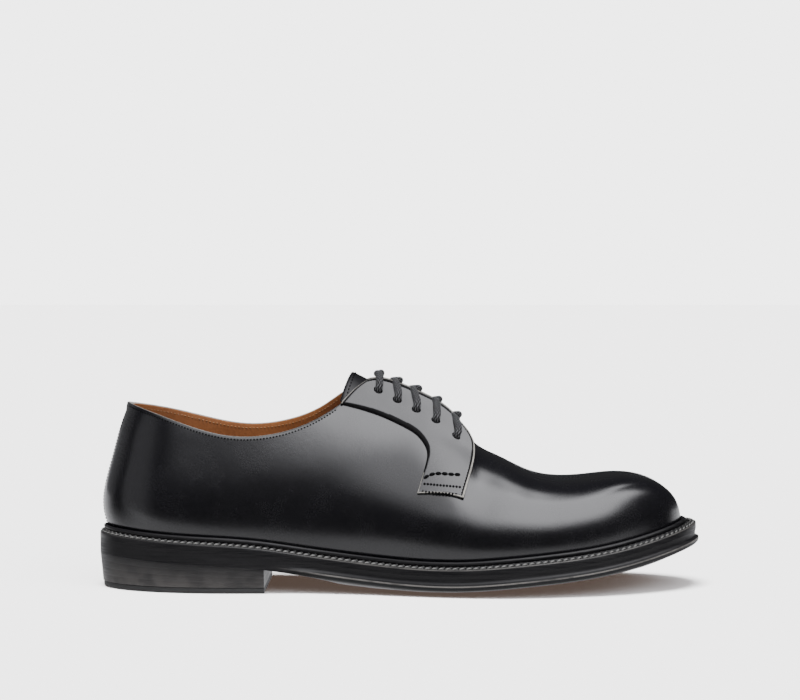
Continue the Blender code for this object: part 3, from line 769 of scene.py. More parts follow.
class Graph(Nodes):
    """Nodes of one material with its shader."""

    def __init__(self, name: str) -> None:
        """Start a material with its shader alone."""
        self.material = bpy.data.materials.new(name)
        self.material.use_nodes = True
        super().__init__(self.material.node_tree)
        self.shader = self.tree.nodes["Principled BSDF"]
        self.place = self.add("ShaderNodeTexCoord").outputs["Object"]

    def put(self, socket: Socket, value: bpy.types.NodeSocket | float | Sequence[float]) -> None:
        """Link a value to one of the shader's sockets, or set it there."""
        self.join(value, self.shader.inputs[socket.value])

    def put_roughness(self, texture: bpy.types.NodeSocket, low: float, high: float) -> None:
        """Let the roughness follow a texture from low to high."""
        self.put(Socket.ROUGHNESS, self.fade(texture, 0.3, 0.7, low, high))

    def stretched(self, stretch: tuple[float, float, float]) -> bpy.types.NodeSocket:
        """Object place with each axis scaled."""
        node = self.add("ShaderNodeMapping")
        self.join(self.place, node.inputs["Vector"])
        node.inputs["Scale"].default_value = stretch
        return node.outputs["Vector"]

    def noise(self, scale: float, detail: float = 2.0, roughness: float = 0.5,
              stretch: tuple[float, float, float] = (1.0, 1.0, 1.0)) -> bpy.types.NodeSocket:
        """Noise over the object's place, from 0 to 1."""
        node = self.add("ShaderNodeTexNoise")
        self.join(self.stretched(stretch), node.inputs["Vector"])
        node.inputs["Scale"].default_value = scale
        node.inputs["Detail"].default_value = detail
        node.inputs["Roughness"].default_value = roughness
        return node.outputs["Fac"]

    def pores(self, scale: float) -> bpy.types.NodeSocket:
        """Distance to the nearest of many scattered points, as in fine grain."""
        node = self.add("ShaderNodeTexVoronoi")
        self.join(self.place, node.inputs["Vector"])
        node.inputs["Scale"].default_value = scale
        return node.outputs["Distance"]

    def share(self, name: str) -> bpy.types.NodeSocket:
        """Value that the mesh carries under a name."""
        return self.add("ShaderNodeAttribute", attribute_name=name).outputs["Fac"]

    def blend(self, factor: bpy.types.NodeSocket, low: Sequence[float],
              high: Sequence[float]) -> bpy.types.NodeSocket:
        """Colour between two colours."""
        node = self.add("ShaderNodeMix", data_type="RGBA")
        self.join(factor, node.inputs["Factor"])
        for value, socket in ((low, node.inputs["A"]), (high, node.inputs["B"])):
            if isinstance(value, bpy.types.NodeSocket):
                self.join(value, socket)
            else:
                socket.default_value = (*value, 1)
        return node.outputs["Result"]

    def lean_aside(self, lean: StrapLean) -> bpy.types.NodeSocket:
        """Face normal that leans outwards near the ridge, as a strap pulled flat by its lacing does.

        Args:
            lean: Where the strap leans, and how far.

        Returns:
            The normal.
        """
        split = self.add("ShaderNodeSeparateXYZ")
        self.join(self.place, split.inputs[0])
        across = self.math("SUBTRACT", split.outputs[1], lean.centre)
        share = self.fade(self.math("ABSOLUTE", across), lean.far, lean.near)
        push = self.math("MULTIPLY", self.math("MULTIPLY", share, lean.amount), self.math("SIGN", across))
        total = self.add("ShaderNodeVectorMath", operation="MULTIPLY_ADD")
        self.join(self.add("ShaderNodeNewGeometry").outputs["Normal"], total.inputs[0])
        self.join(self.vector(lean.flatten, 1.0, 1.0), total.inputs[1])
        self.join(self.vector(0.0, push, 0.0), total.inputs[2])
        level = self.add("ShaderNodeVectorMath", operation="NORMALIZE")
        self.join(total.outputs[0], level.inputs[0])
        return level.outputs[0]

    def relief(self, height: bpy.types.NodeSocket, depth: float,
               below: bpy.types.NodeSocket | None = None) -> bpy.types.NodeSocket:
        """Normal from a height from 0 to 1 and its depth in metres."""
        node = self.add("ShaderNodeBump")
        self.join(height, node.inputs["Height"])
        node.inputs["Strength"].default_value = 1.0
        node.inputs["Distance"].default_value = depth
        if below is not None:
            self.join(below, node.inputs["Normal"])
        return node.outputs["Normal"]


@dataclass(frozen=True)
class PolishedLeather:
    """Smooth calf with a polished face: faint waves, fine pores and a clear coat."""

    name: str
    dark: tuple[float, float, float] = (0.0014, 0.0014, 0.0019)
    light: tuple[float, float, float] = (0.0022, 0.0021, 0.0027)
    roughness: float = 0.24
    specular: float = 0.40
    coat: float = 0.35
    coat_roughness: float = 0.10
    grain_spread: float = 0.03
    patch_spread: float = 0.02
    wave: float = 0.00005
    ripple_share: float = 0.35
    pore: float = 0.000012
    patch_scale: float = 70
    grain_scale: float = 2600
    wave_scale: float = 85
    ripple_scale: float = 430
    pore_scale: float = 1500
    lean: StrapLean | None = None

    def make(self) -> bpy.types.Material:
        """Build the material."""
        graph = Graph(self.name)
        patches = graph.noise(self.patch_scale, 3)
        graph.put(Socket.COLOUR, graph.blend(patches, self.dark, self.light))
        grain = graph.fade(graph.noise(self.grain_scale), 0.3, 0.7, self.roughness - self.grain_spread,
                           self.roughness + self.grain_spread)
        cloudy = graph.fade(patches, 0.35, 0.65, -self.patch_spread, self.patch_spread)
        graph.put(Socket.ROUGHNESS, graph.math("ADD", grain, cloudy))
        base = graph.lean_aside(self.lean) if self.lean else None
        wavy = graph.relief(graph.noise(self.wave_scale, 2, 0.4), self.wave, base)
        wavy = graph.relief(graph.noise(self.ripple_scale), self.wave * self.ripple_share, wavy)
        graph.put(Socket.NORMAL, graph.relief(graph.pores(self.pore_scale), self.pore, wavy))
        graph.put(Socket.COAT_NORMAL, wavy)
        graph.put(Socket.SPECULAR, self.specular)
        graph.put(Socket.COAT, self.coat)
        graph.put(Socket.COAT_ROUGHNESS, self.coat_roughness)
        return graph.material


@dataclass(frozen=True)
class PlainLeather:
    """Undyed or dull leather with fibres and patches of tone: the lining, the sock, the pale painted
    highlight of cut edges, and dyed edges that also carry painted shade.
    """

    name: str
    dark: tuple[float, float, float]
    light: tuple[float, float, float]
    roughness: float = 0.62
    specular: float = 0.35
    fibre_scale: float = 900.0
    patch_scale: float = 45.0
    fibre_share: float = 0.55
    spread: float = 0.08
    depth: float = 0.00006

    def make(self) -> bpy.types.Material:
        """Build the material."""
        graph = Graph(self.name)
        fibres = graph.noise(self.fibre_scale, 4, 0.6)
        patches = graph.noise(self.patch_scale, 3)
        tone = graph.math("ADD", graph.math("MULTIPLY", fibres, self.fibre_share),
                          graph.math("MULTIPLY", patches, 1 - self.fibre_share))
        graph.put(Socket.COLOUR, graph.blend(graph.fade(tone, 0.35, 0.65), self.dark, self.light))
        graph.put_roughness(fibres, self.roughness - self.spread, self.roughness + self.spread)
        creased = graph.relief(patches, self.depth * 3)
        graph.put(Socket.NORMAL, graph.relief(fibres, self.depth, creased))
        graph.put(Socket.SPECULAR, self.specular)
        return graph.material


@dataclass(frozen=True)
class SoleEdge:
    """Dyed and waxed edge of the sole leather: fine lines round it, and a paler rim colour in patches:
    painted highlight along the welt's and the lip's edges, patchy like wear, and paler towards the heel's
    bottom.
    """

    name: str
    dark: tuple[float, float, float] = (0.0018, 0.0018, 0.0021)
    light: tuple[float, float, float] = (0.0042, 0.0040, 0.0044)
    pale_rim: tuple[float, float, float] = (0.030, 0.028, 0.027)
    roughness: float = 0.42
    specular: float = 0.22
    line_depth: float = 0.00003
    patch_depth_share: float = 0.8
    line_scale: float = 300.0
    line_stretch: tuple[float, float, float] = (0.16, 0.16, 9.0)
    patch_scale: float = 120.0

    def make(self) -> bpy.types.Material:
        """Build the material."""
        graph = Graph(self.name)
        lines = graph.noise(self.line_scale, 5, 0.62, self.line_stretch)
        patches = graph.noise(self.patch_scale, 3)
        base = graph.blend(graph.fade(lines, 0.3, 0.7), self.dark, self.light)
        # The rim share paints a paler colour in patches: painted highlight along the welt's and the lip's
        # edges, and paler towards the heel's bottom.
        rim = graph.math("MULTIPLY", graph.share("rim"), graph.fade(patches, 0.25, 0.6, 0.35, 1.0))
        graph.put(Socket.COLOUR, graph.blend(rim, base, self.pale_rim))
        graph.put_roughness(lines, self.roughness - 0.06, self.roughness + 0.12)
        rough_face = graph.relief(patches, self.line_depth * self.patch_depth_share)
        graph.put(Socket.NORMAL, graph.relief(lines, self.line_depth, rough_face))
        graph.put(Socket.SPECULAR, self.specular)
        return graph.material


@dataclass(frozen=True)
class WaxedThread:
    """Twisted or braided waxed thread, with painted highlight on the crowns of its strands and painted
    shade between them.
    """

    name: str
    dark: tuple[float, float, float]
    light: tuple[float, float, float]
    roughness: float = 0.45
    specular: float = 0.5
    crown_power: float = 2.0
    fibre_depth: float = 0.00003
    fibre_scale: float = 3500.0

    def make(self) -> bpy.types.Material:
        """Build the material."""
        graph = Graph(self.name)
        fibres = graph.noise(self.fibre_scale)
        # Painted highlight on the strands' crowns, painted shade in the hollows between them.
        crown = graph.math("POWER", graph.share("crown"), self.crown_power)
        tone = graph.math("MULTIPLY", crown, graph.fade(fibres, 0.2, 0.6, 0.55, 1.0))
        graph.put(Socket.COLOUR, graph.blend(tone, self.dark, self.light))
        graph.put_roughness(fibres, self.roughness - 0.1, self.roughness + 0.1)
        graph.put(Socket.NORMAL, graph.relief(fibres, self.fibre_depth))
        graph.put(Socket.SPECULAR, self.specular)
        return graph.material


@dataclass(frozen=True)
class Rubber:
    """Dull moulded rubber with fine pits."""

    name: str
    dark: tuple[float, float, float] = (0.0045, 0.0045, 0.0048)
    light: tuple[float, float, float] = (0.0100, 0.0098, 0.0100)
    roughness: float = 0.68
    spread: float = 0.08
    pit_scale: float = 1400.0
    pit_depth: float = 0.00004

    def make(self) -> bpy.types.Material:
        """Build the material."""
        graph = Graph(self.name)
        pits = graph.noise(self.pit_scale, 3)
        graph.put(Socket.COLOUR, graph.blend(graph.fade(pits, 0.3, 0.7), self.dark, self.light))
        graph.put_roughness(pits, self.roughness - self.spread, self.roughness + self.spread)
        graph.put(Socket.NORMAL, graph.relief(pits, self.pit_depth))
        return graph.material


@dataclass
class Finishes:
    """Every material of the shoe, made once and shared by its pieces."""

    def __post_init__(self) -> None:
        """Make the materials."""
        self.calf = PolishedLeather("polished_black_calf").make()
        self.facing_calf = PolishedLeather("facing_black_calf", roughness=0.30, wave=0.00003,
                                           lean=StrapLean()).make()
        self.tongue_calf = PolishedLeather("tongue_black_calf", roughness=0.40, specular=0.25,
                                           coat=0.0).make()
        self.lining = PlainLeather("tan_lining_leather", dark=(0.117, 0.040, 0.0115),
                                   light=(0.172, 0.064, 0.0205)).make()
        self.sock = PlainLeather("tan_sock_leather", dark=(0.130, 0.046, 0.0135),
                                 light=(0.180, 0.069, 0.0220), roughness=0.5).make()
        # Pale painted highlight on the rounded cut edges of the collar and the facings.
        self.cut_edge = PlainLeather("painted_edge_highlight", dark=(0.055, 0.053, 0.049),
                                     light=(0.17, 0.162, 0.15), roughness=0.7, fibre_scale=1500,
                                     depth=0.00005).make()
        # Dark finish of the dyed edges, which also paints the shade along the facings' edges and seam
        # channels.
        self.dark_edge = PlainLeather("dyed_edge_and_painted_shade", dark=(0.0010, 0.0010, 0.0012),
                                      light=(0.0030, 0.0029, 0.0031), roughness=0.7, specular=0.12,
                                      fibre_scale=1500).make()
        self.sole = SoleEdge("sole_edge_leather", pale_rim=(0.058, 0.055, 0.052)).make()
        self.welt = SoleEdge("welt_leather", pale_rim=(0.055, 0.052, 0.049), roughness=0.36,
                             line_depth=0.00002).make()
        self.heel = SoleEdge("heel_stack_leather", dark=(0.0022, 0.0022, 0.0025),
                             light=(0.0054, 0.0052, 0.0055), pale_rim=(0.0270, 0.0245, 0.0235),
                             roughness=0.44, specular=0.34, line_depth=0.00004).make()
        self.rubber = Rubber("heel_rubber").make()
        self.lace = WaxedThread("waxed_lace_braid", dark=(0.0003, 0.0003, 0.0004),
                                light=(0.0760, 0.0760, 0.0800), specular=0.10, crown_power=5.0).make()
        self.dark_thread = WaxedThread("dark_stitch_thread", dark=(0.0006, 0.0006, 0.0008),
                                       light=(0.0040, 0.0040, 0.0046), roughness=0.65,
                                       specular=0.06).make()
        self.welt_thread = WaxedThread("welt_stitch_thread", dark=(0.003, 0.003, 0.0033),
                                       light=(0.085, 0.084, 0.082), specular=0.25).make()
        self.light_thread = WaxedThread("lining_stitch_thread", dark=(0.12, 0.055, 0.020),
                                        light=(0.25, 0.14, 0.065)).make()


@dataclass(frozen=True)
class StitchRow:
    """Size of the stitches of one seam, and how they lie."""

    pitch: float = 0.0018
    length: float = 0.0014
    width: float = 0.00042
    rise: float = 0.00016
    twist_turns: float = 1.0
    slant: float = 0.0
    climb: float = 0.0
    end_power: float = 2.5
    end_floor: float = 0.05
    end_dip: float = 0.35
    lobe: float = 0.16
    rings: int = 7
    sides: int = 6

    def run(self, draft: Draft, path: np.ndarray, normals: np.ndarray) -> None:
        """Lay stitches end to end along a path.

        Args:
            draft: Mesh that takes the stitches.
            path: Points of the seam, in order.
            normals: Outward direction at each point.
        """
        reach = reach_along(path)
        count = max(1, int(reach[-1] / self.pitch))
        for k in range(count):
            middle = reach[-1] * (k + 0.5) / count
            ends = np.linspace(middle - self.length / 2, middle + self.length / 2, self.rings)
            self.lay_one(draft, read_at(ends, reach, path), unit(read_at(middle, reach, normals)))

    def lay_one(self, draft: Draft, centre: np.ndarray, up: np.ndarray) -> None:
        """Lay one stitch: a short thread that dips into its holes at both ends."""
        ahead = unit(centre[-1] - centre[0])
        aside = unit(np.cross(up, ahead))
        share = np.linspace(-1, 1, self.rings)
        swell = np.sqrt(np.maximum(1 - np.abs(share) ** self.end_power, self.end_floor))
        turn = np.linspace(0, 2 * math.pi, self.sides, endpoint=False)
        spin = turn[None, :] - share[:, None] * math.pi * self.twist_turns
        lobes = 1 + self.lobe * np.cos(2 * spin)
        dip = self.rise * swell - self.end_dip * self.width * (1 - swell) + self.climb * share
        drift = self.slant * share
        spine = centre + up * dip[:, None] + aside * drift[:, None]
        out = self.width / 2 * swell[:, None] * lobes
        rings = (spine[:, None, :] + aside * (out * np.cos(turn))[..., None]
                 + up * (out * np.sin(turn))[..., None])
        # The crown share carries the painted highlight of the thread's lobes.
        draft.add_tube(rings, crown=np.clip((lobes - (1 - self.lobe)) / (2 * self.lobe), 0, 1))


def sweep(path: np.ndarray, turns: int) -> tuple[np.ndarray, np.ndarray]:
    """Frames that follow a path without twisting.

    Args:
        path: Points in order.
        turns: How many directions round the path.

    Returns:
        Angles round the path, and a unit direction for each point and angle.
    """
    ahead = unit(np.gradient(path, axis=0))
    aside = np.zeros_like(path)
    aside[0] = unit(np.cross(ahead[0], [1.0, 0.0, 0.0]))
    for k in range(1, len(path)):
        moved = aside[k - 1] - ahead[k] * np.dot(aside[k - 1], ahead[k])
        aside[k] = unit(moved)
    upward = np.cross(ahead, aside)
    angle = np.linspace(0, 2 * math.pi, turns, endpoint=False)
    directions = (aside[:, None, :] * np.cos(angle)[None, :, None]
                  + upward[:, None, :] * np.sin(angle)[None, :, None])
    return angle, directions


@dataclass
class Facings:
    """The two straps that carry the eyelets, with a cut edge painted pale as its highlight and dark as
    shade, holes and seams.
    """

    last: Last
    finishes: Finishes
    lift: float = 0.0003
    thickness: float = 0.0018
    edge_round: float = 0.0005
    inner_round: float = 0.0024
    bead_height: float = 0.00045
    bead_throat: float = 0.0010
    # band_start: outermost rim of the facing, painted dark as shade. band_throat, band_front, band_tab:
    # width of the pale painted highlight inside it.
    band_start: float = 0.0002
    band_throat: float = 0.0009
    band_front: float = 0.0011
    band_tab: float = 0.0007
    seam_inset: float = 0.0016
    seam_inset_throat: float = 0.0022
    bead_place: float = 0.0006
    groove_depth: float = 0.00016
    groove_width: float = 0.0004
    # channel_half, channel_spread: painted shade in the seam channel. inner_dark, inner_dark_spread:
    # painted shade along the inner edge. tab_pale: painted highlight beside it on the tab.
    channel_half: float = 0.00022
    channel_spread: float = 0.0008
    inner_dark: float = 0.0003
    inner_dark_spread: float = 0.0016
    tab_start: float = 0.87
    tab_pale: float = 0.0008
    front_range: tuple[float, float] = (0.42, 0.52)
    top_range: tuple[float, float] = (0.03, 0.16)
    seat_depth: float = 0.00035
    seat_width: float = 0.0030
    hole_radius: float = 0.0024
    hole_sides: int = 28
    punch_reach: float = 0.008
    eyelet_count: int = 5
    steps: int = 120
    middle_columns: int = 18
    edge_places: tuple[float, ...] = (0.0, 0.00008, 0.0002, 0.00035, 0.0005, 0.0007, 0.0009, 0.0011,
                                      0.0013, 0.0016, 0.0018, 0.0020, 0.0022, 0.0025, 0.0029)

    def __post_init__(self) -> None:
        """Fit the outline's curves and measure the strap."""
        stations = np.linspace(0, 1, len(FACING))
        self.curves = {name: Spline(stations, [getattr(row, name) for row in FACING])
                       for name in FacingRow._fields}
        stations = np.linspace(0, 1, 200)
        middle = self.spot_points(Side.LATERAL, stations, np.full(200, 0.5), 0.0)
        self.strap_length = float(np.linalg.norm(np.diff(middle, axis=0), axis=1).sum())

    def front_share(self, s: np.ndarray) -> np.ndarray:
        """Share of the strap's vamp half at each station, from 0 by the throat to 1."""
        return ramp(s, *self.front_range)

    def throat_share(self, s: np.ndarray) -> np.ndarray:
        """Share of the stretch beside the throat, which fades to the top and to the vamp."""
        return (1 - self.front_share(s)) * ramp(s, *self.top_range)

    def seam_insets(self, s: np.ndarray) -> np.ndarray:
        """Distance of the edge seam from the strap's outer edge."""
        return self.seam_inset + (self.seam_inset_throat - self.seam_inset) * self.throat_share(s)

    def spot(self, s: np.ndarray, across: np.ndarray) -> tuple[np.ndarray, np.ndarray]:
        """Place on the last from the strap's own shares: t and v."""
        along = self.curves["outer_along"](s) * (1 - across) + self.curves["inner_along"](s) * across
        up = self.curves["outer_up"](s) * (1 - across) + self.curves["inner_up"](s) * across
        return angle_share(along), up

    def spot_points(self, side: Side, s: np.ndarray, across: np.ndarray,
                    offset: float | np.ndarray) -> np.ndarray:
        """Points of the strap at a distance outside the last."""
        t, v = self.spot(s, across)
        return self.last.point(t, side, v, offset)

    def width(self, side: Side, s: np.ndarray) -> np.ndarray:
        """Width of the strap at each station."""
        across = np.linspace(0, 1, 12)
        points = self.spot_points(side, s[:, None], across[None, :], 0.0)
        return np.linalg.norm(np.diff(points, axis=1), axis=-1).sum(axis=1)

    def eyelets(self) -> list[tuple[float, float]]:
        """Places of the eyelets from the top row down: t and v."""
        share = np.linspace(0, 1, self.eyelet_count)
        along = TOP_EYELET.along + (BOTTOM_EYELET.along - TOP_EYELET.along) * share
        up = TOP_EYELET.up + (BOTTOM_EYELET.up - TOP_EYELET.up) * share
        return list(zip(angle_share(along).tolist(), up.tolist()))

    def seats(self, side: Side, points: np.ndarray) -> np.ndarray:
        """Share of the dish that the laces press round each eyelet."""
        depth = np.zeros(points.shape[:-1])
        for t, v in self.eyelets():
            hole = self.last.point(t, side, v, 0.0)
            distance = np.linalg.norm(points - hole, axis=-1)
            depth = np.maximum(depth, bump_shape(distance, 0, self.seat_width))
        return depth

    def make_strap(self, side: Side) -> bpy.types.Object:
        """One facing as a closed sheet with rounded edges.

        Args:
            side: Which side of the shoe.

        Returns:
            The piece.
        """
        ends = np.array(self.edge_places) / self.strap_length
        s = np.concatenate([ends, np.linspace(ends[-1], 1 - ends[-1], self.steps)[1:-1], 1 - ends[::-1]])
        width = self.width(side, s)
        near = np.array(self.edge_places)[None, :] / width[:, None]
        inner = np.linspace(0, 1, self.middle_columns)[None, 1:-1]
        middle = near[:, -1:] + (1 - 2 * near[:, -1:]) * inner
        across = np.concatenate([near, middle, 1 - near[:, ::-1]], axis=1)
        base = self.spot_points(side, s[:, None], across, 0.0)
        to_outer = across * width[:, None]
        to_inner = (1 - across) * width[:, None]
        to_top = np.broadcast_to((s * self.strap_length)[:, None], across.shape)
        to_tab = self.strap_length - to_top
        to_rim = np.minimum(to_outer, np.minimum(to_top, to_tab))
        taper = (np.sin(math.pi * np.clip(s, 0.02, 0.98)) ** 0.6)[:, None]
        inner_round = self.edge_round + (self.inner_round - self.edge_round) * taper
        inside = np.minimum(np.clip(to_rim / self.edge_round, 0, 1), np.clip(to_inner / inner_round, 0, 1))
        swell = np.sqrt(1 - (1 - inside) ** 2)
        front = self.front_share(s)
        throat = self.throat_share(s)
        inset = self.seam_insets(s)[:, None]
        to_seam = np.minimum(to_outer, to_top)
        high = self.bead_throat + (self.bead_height - self.bead_throat) * front
        bead = high[:, None] * bump_shape(to_rim, self.bead_place, self.bead_place)
        groove = self.groove_depth * bump_shape(to_seam, inset, self.groove_width)
        t, v = self.spot(s[:, None], across)
        normal = self.last.normal(t, side, v)
        dish = self.seats(side, base) * self.seat_depth
        height = self.lift + self.thickness * swell + bead - groove - dish * inside
        draft = Draft()
        face = draft.add_points(base + normal * height[..., None])
        back = draft.add_points(base + normal * self.lift)
        band = self.band_throat + (self.band_front - self.band_throat) * front
        for i in range(len(s) - 1):
            for j in range(across.shape[1] - 1):
                cell = to_seam[i:i + 2, j:j + 2]
                inner = to_inner[i, j]
                # Outermost rim, seam channel and inner edge are painted dark as shade; the pale bands along
                # the edges and beside the inner edge on the tab are painted highlight.
                rim = to_rim[i:i + 2, j:j + 2].max() <= self.band_start + MERGE_DISTANCE
                tab = s[i] > self.tab_start and self.inner_dark <= inner <= self.tab_pale
                pale = cell.max() <= band[i] + MERGE_DISTANCE or to_tab[i, j] <= self.band_tab or tab
                channel = (abs(cell.mean() - inset[i, 0])
                           <= self.channel_half + self.channel_spread * throat[i])
                dark = channel or inner <= self.inner_dark + self.inner_dark_spread * taper[i, 0]
                if pale and not rim:
                    finish = StrapFace.PALE_EDGE
                else:
                    finish = StrapFace.DARK_EDGE if rim or dark else StrapFace.CALF
                draft.add_face((face[i, j], face[i, j + 1], face[i + 1, j + 1], face[i + 1, j]), finish)
                draft.add_face((back[i, j], back[i + 1, j], back[i + 1, j + 1], back[i, j + 1]),
                               StrapFace.DARK_EDGE)
        draft.join_edges(face, back, StrapFace.DARK_EDGE)
        name = f"eyelet_facing_{side.name.lower()}"
        finishes = [self.finishes.facing_calf, self.finishes.cut_edge, self.finishes.dark_edge]
        return draft.make_object(name, finishes)

    def punch(self, piece: bpy.types.Object, side: Side) -> None:
        """Take the eyelet holes out of a piece."""
        work = bmesh.new()
        for t, v in self.eyelets():
            low = self.last.point(t, side, v, -self.punch_reach)
            high = self.last.point(t, side, v, self.punch_reach)
            axis = Vector(high - low)
            turn = axis.to_track_quat("Z", "Y").to_matrix().to_4x4()
            bmesh.ops.create_cone(work, cap_ends=True, segments=self.hole_sides, radius1=self.hole_radius,
                                  radius2=self.hole_radius, depth=axis.length,
                                  matrix=Matrix.Translation(Vector((low + high) / 2)) @ turn)
        mesh = bpy.data.meshes.new("eyelet_punch")
        work.to_mesh(mesh)
        work.free()
        mesh.materials.append(self.finishes.dark_edge)
        cutter = bpy.data.objects.new("eyelet_punch", mesh)
        bpy.context.scene.collection.objects.link(cutter)
        cut = piece.modifiers.new("eyelets", "BOOLEAN")
        cut.operation = "DIFFERENCE"
        cut.solver = "EXACT"
        cut.material_mode = "TRANSFER"
        cut.object = cutter
        graph = bpy.context.evaluated_depsgraph_get()
        graph.update()
        cut_mesh = bpy.data.meshes.new_from_object(piece.evaluated_get(graph))
        piece.modifiers.remove(cut)
        piece.data = cut_mesh
        cut_mesh.name = piece.name
        bpy.data.objects.remove(cutter, do_unlink=True)

    def seam_path(self, side: Side, t: np.ndarray, v: np.ndarray) -> tuple[np.ndarray, np.ndarray]:
        """Points and outward directions of a seam on the strap's face."""
        normal = self.last.normal(t, side, v)
        return self.last.surface(t, side, v) + normal * (self.lift + self.thickness), normal

    def make_seams(self, side: Side) -> bpy.types.Object:
        """Edge seam, tab seams and the thick tack over the tab.

        Args:
            side: Which side of the shoe.

        Returns:
            All stitches of one facing as one piece.
        """
        draft = Draft()
        fine = StitchRow(pitch=0.0017, length=0.0012, width=0.00080, rise=0.00010)
        ends = self.seam_inset / self.strap_length
        s = np.linspace(ends, 1 - ends, 160)
        spots = self.spot(s, self.seam_insets(s) / self.width(side, s))
        fine.run(draft, *self.seam_path(side, *spots))
        for rows, stitches in self.tab_rows():
            along, up, _ = through(np.array([[spot.along, spot.up, 0.0] for spot in rows]), 40).T
            stitches.run(draft, *self.seam_path(side, angle_share(along), up))
        return draft.make_object(f"facing_seams_{side.name.lower()}", [self.finishes.dark_thread])

    @staticmethod
    def tab_rows() -> list[tuple[tuple[Spot, ...], StitchRow]]:
        """Seams across the tab, from the thick tack down to the lowest fine one."""
        tack = StitchRow(pitch=0.0030, length=0.0032, width=0.0014, rise=0.00040, rings=11, sides=8,
                         twist_turns=2.0)
        fine = StitchRow(pitch=0.0015, length=0.0015, width=0.00130, rise=0.0)
        return [
            ((Spot(0.5468, 0.4696), Spot(0.5651, 0.5008), Spot(0.5862, 0.5168), Spot(0.6066, 0.5444)),
             tack),
            ((Spot(0.5456, 0.4456), Spot(0.5766, 0.4518), Spot(0.6084, 0.4785)), fine),
            ((Spot(0.5426, 0.4100), Spot(0.5717, 0.4127), Spot(0.6024, 0.4323)), fine),
        ]

    def build(self) -> None:
        """Make both facings with their holes and seams."""
        for side in Side:
            strap = self.make_strap(side)
            self.punch(strap, side)
            declare(strap, "black_leather", f"facing_{side.name.lower()}")
            declare(self.make_seams(side), "black_leather")


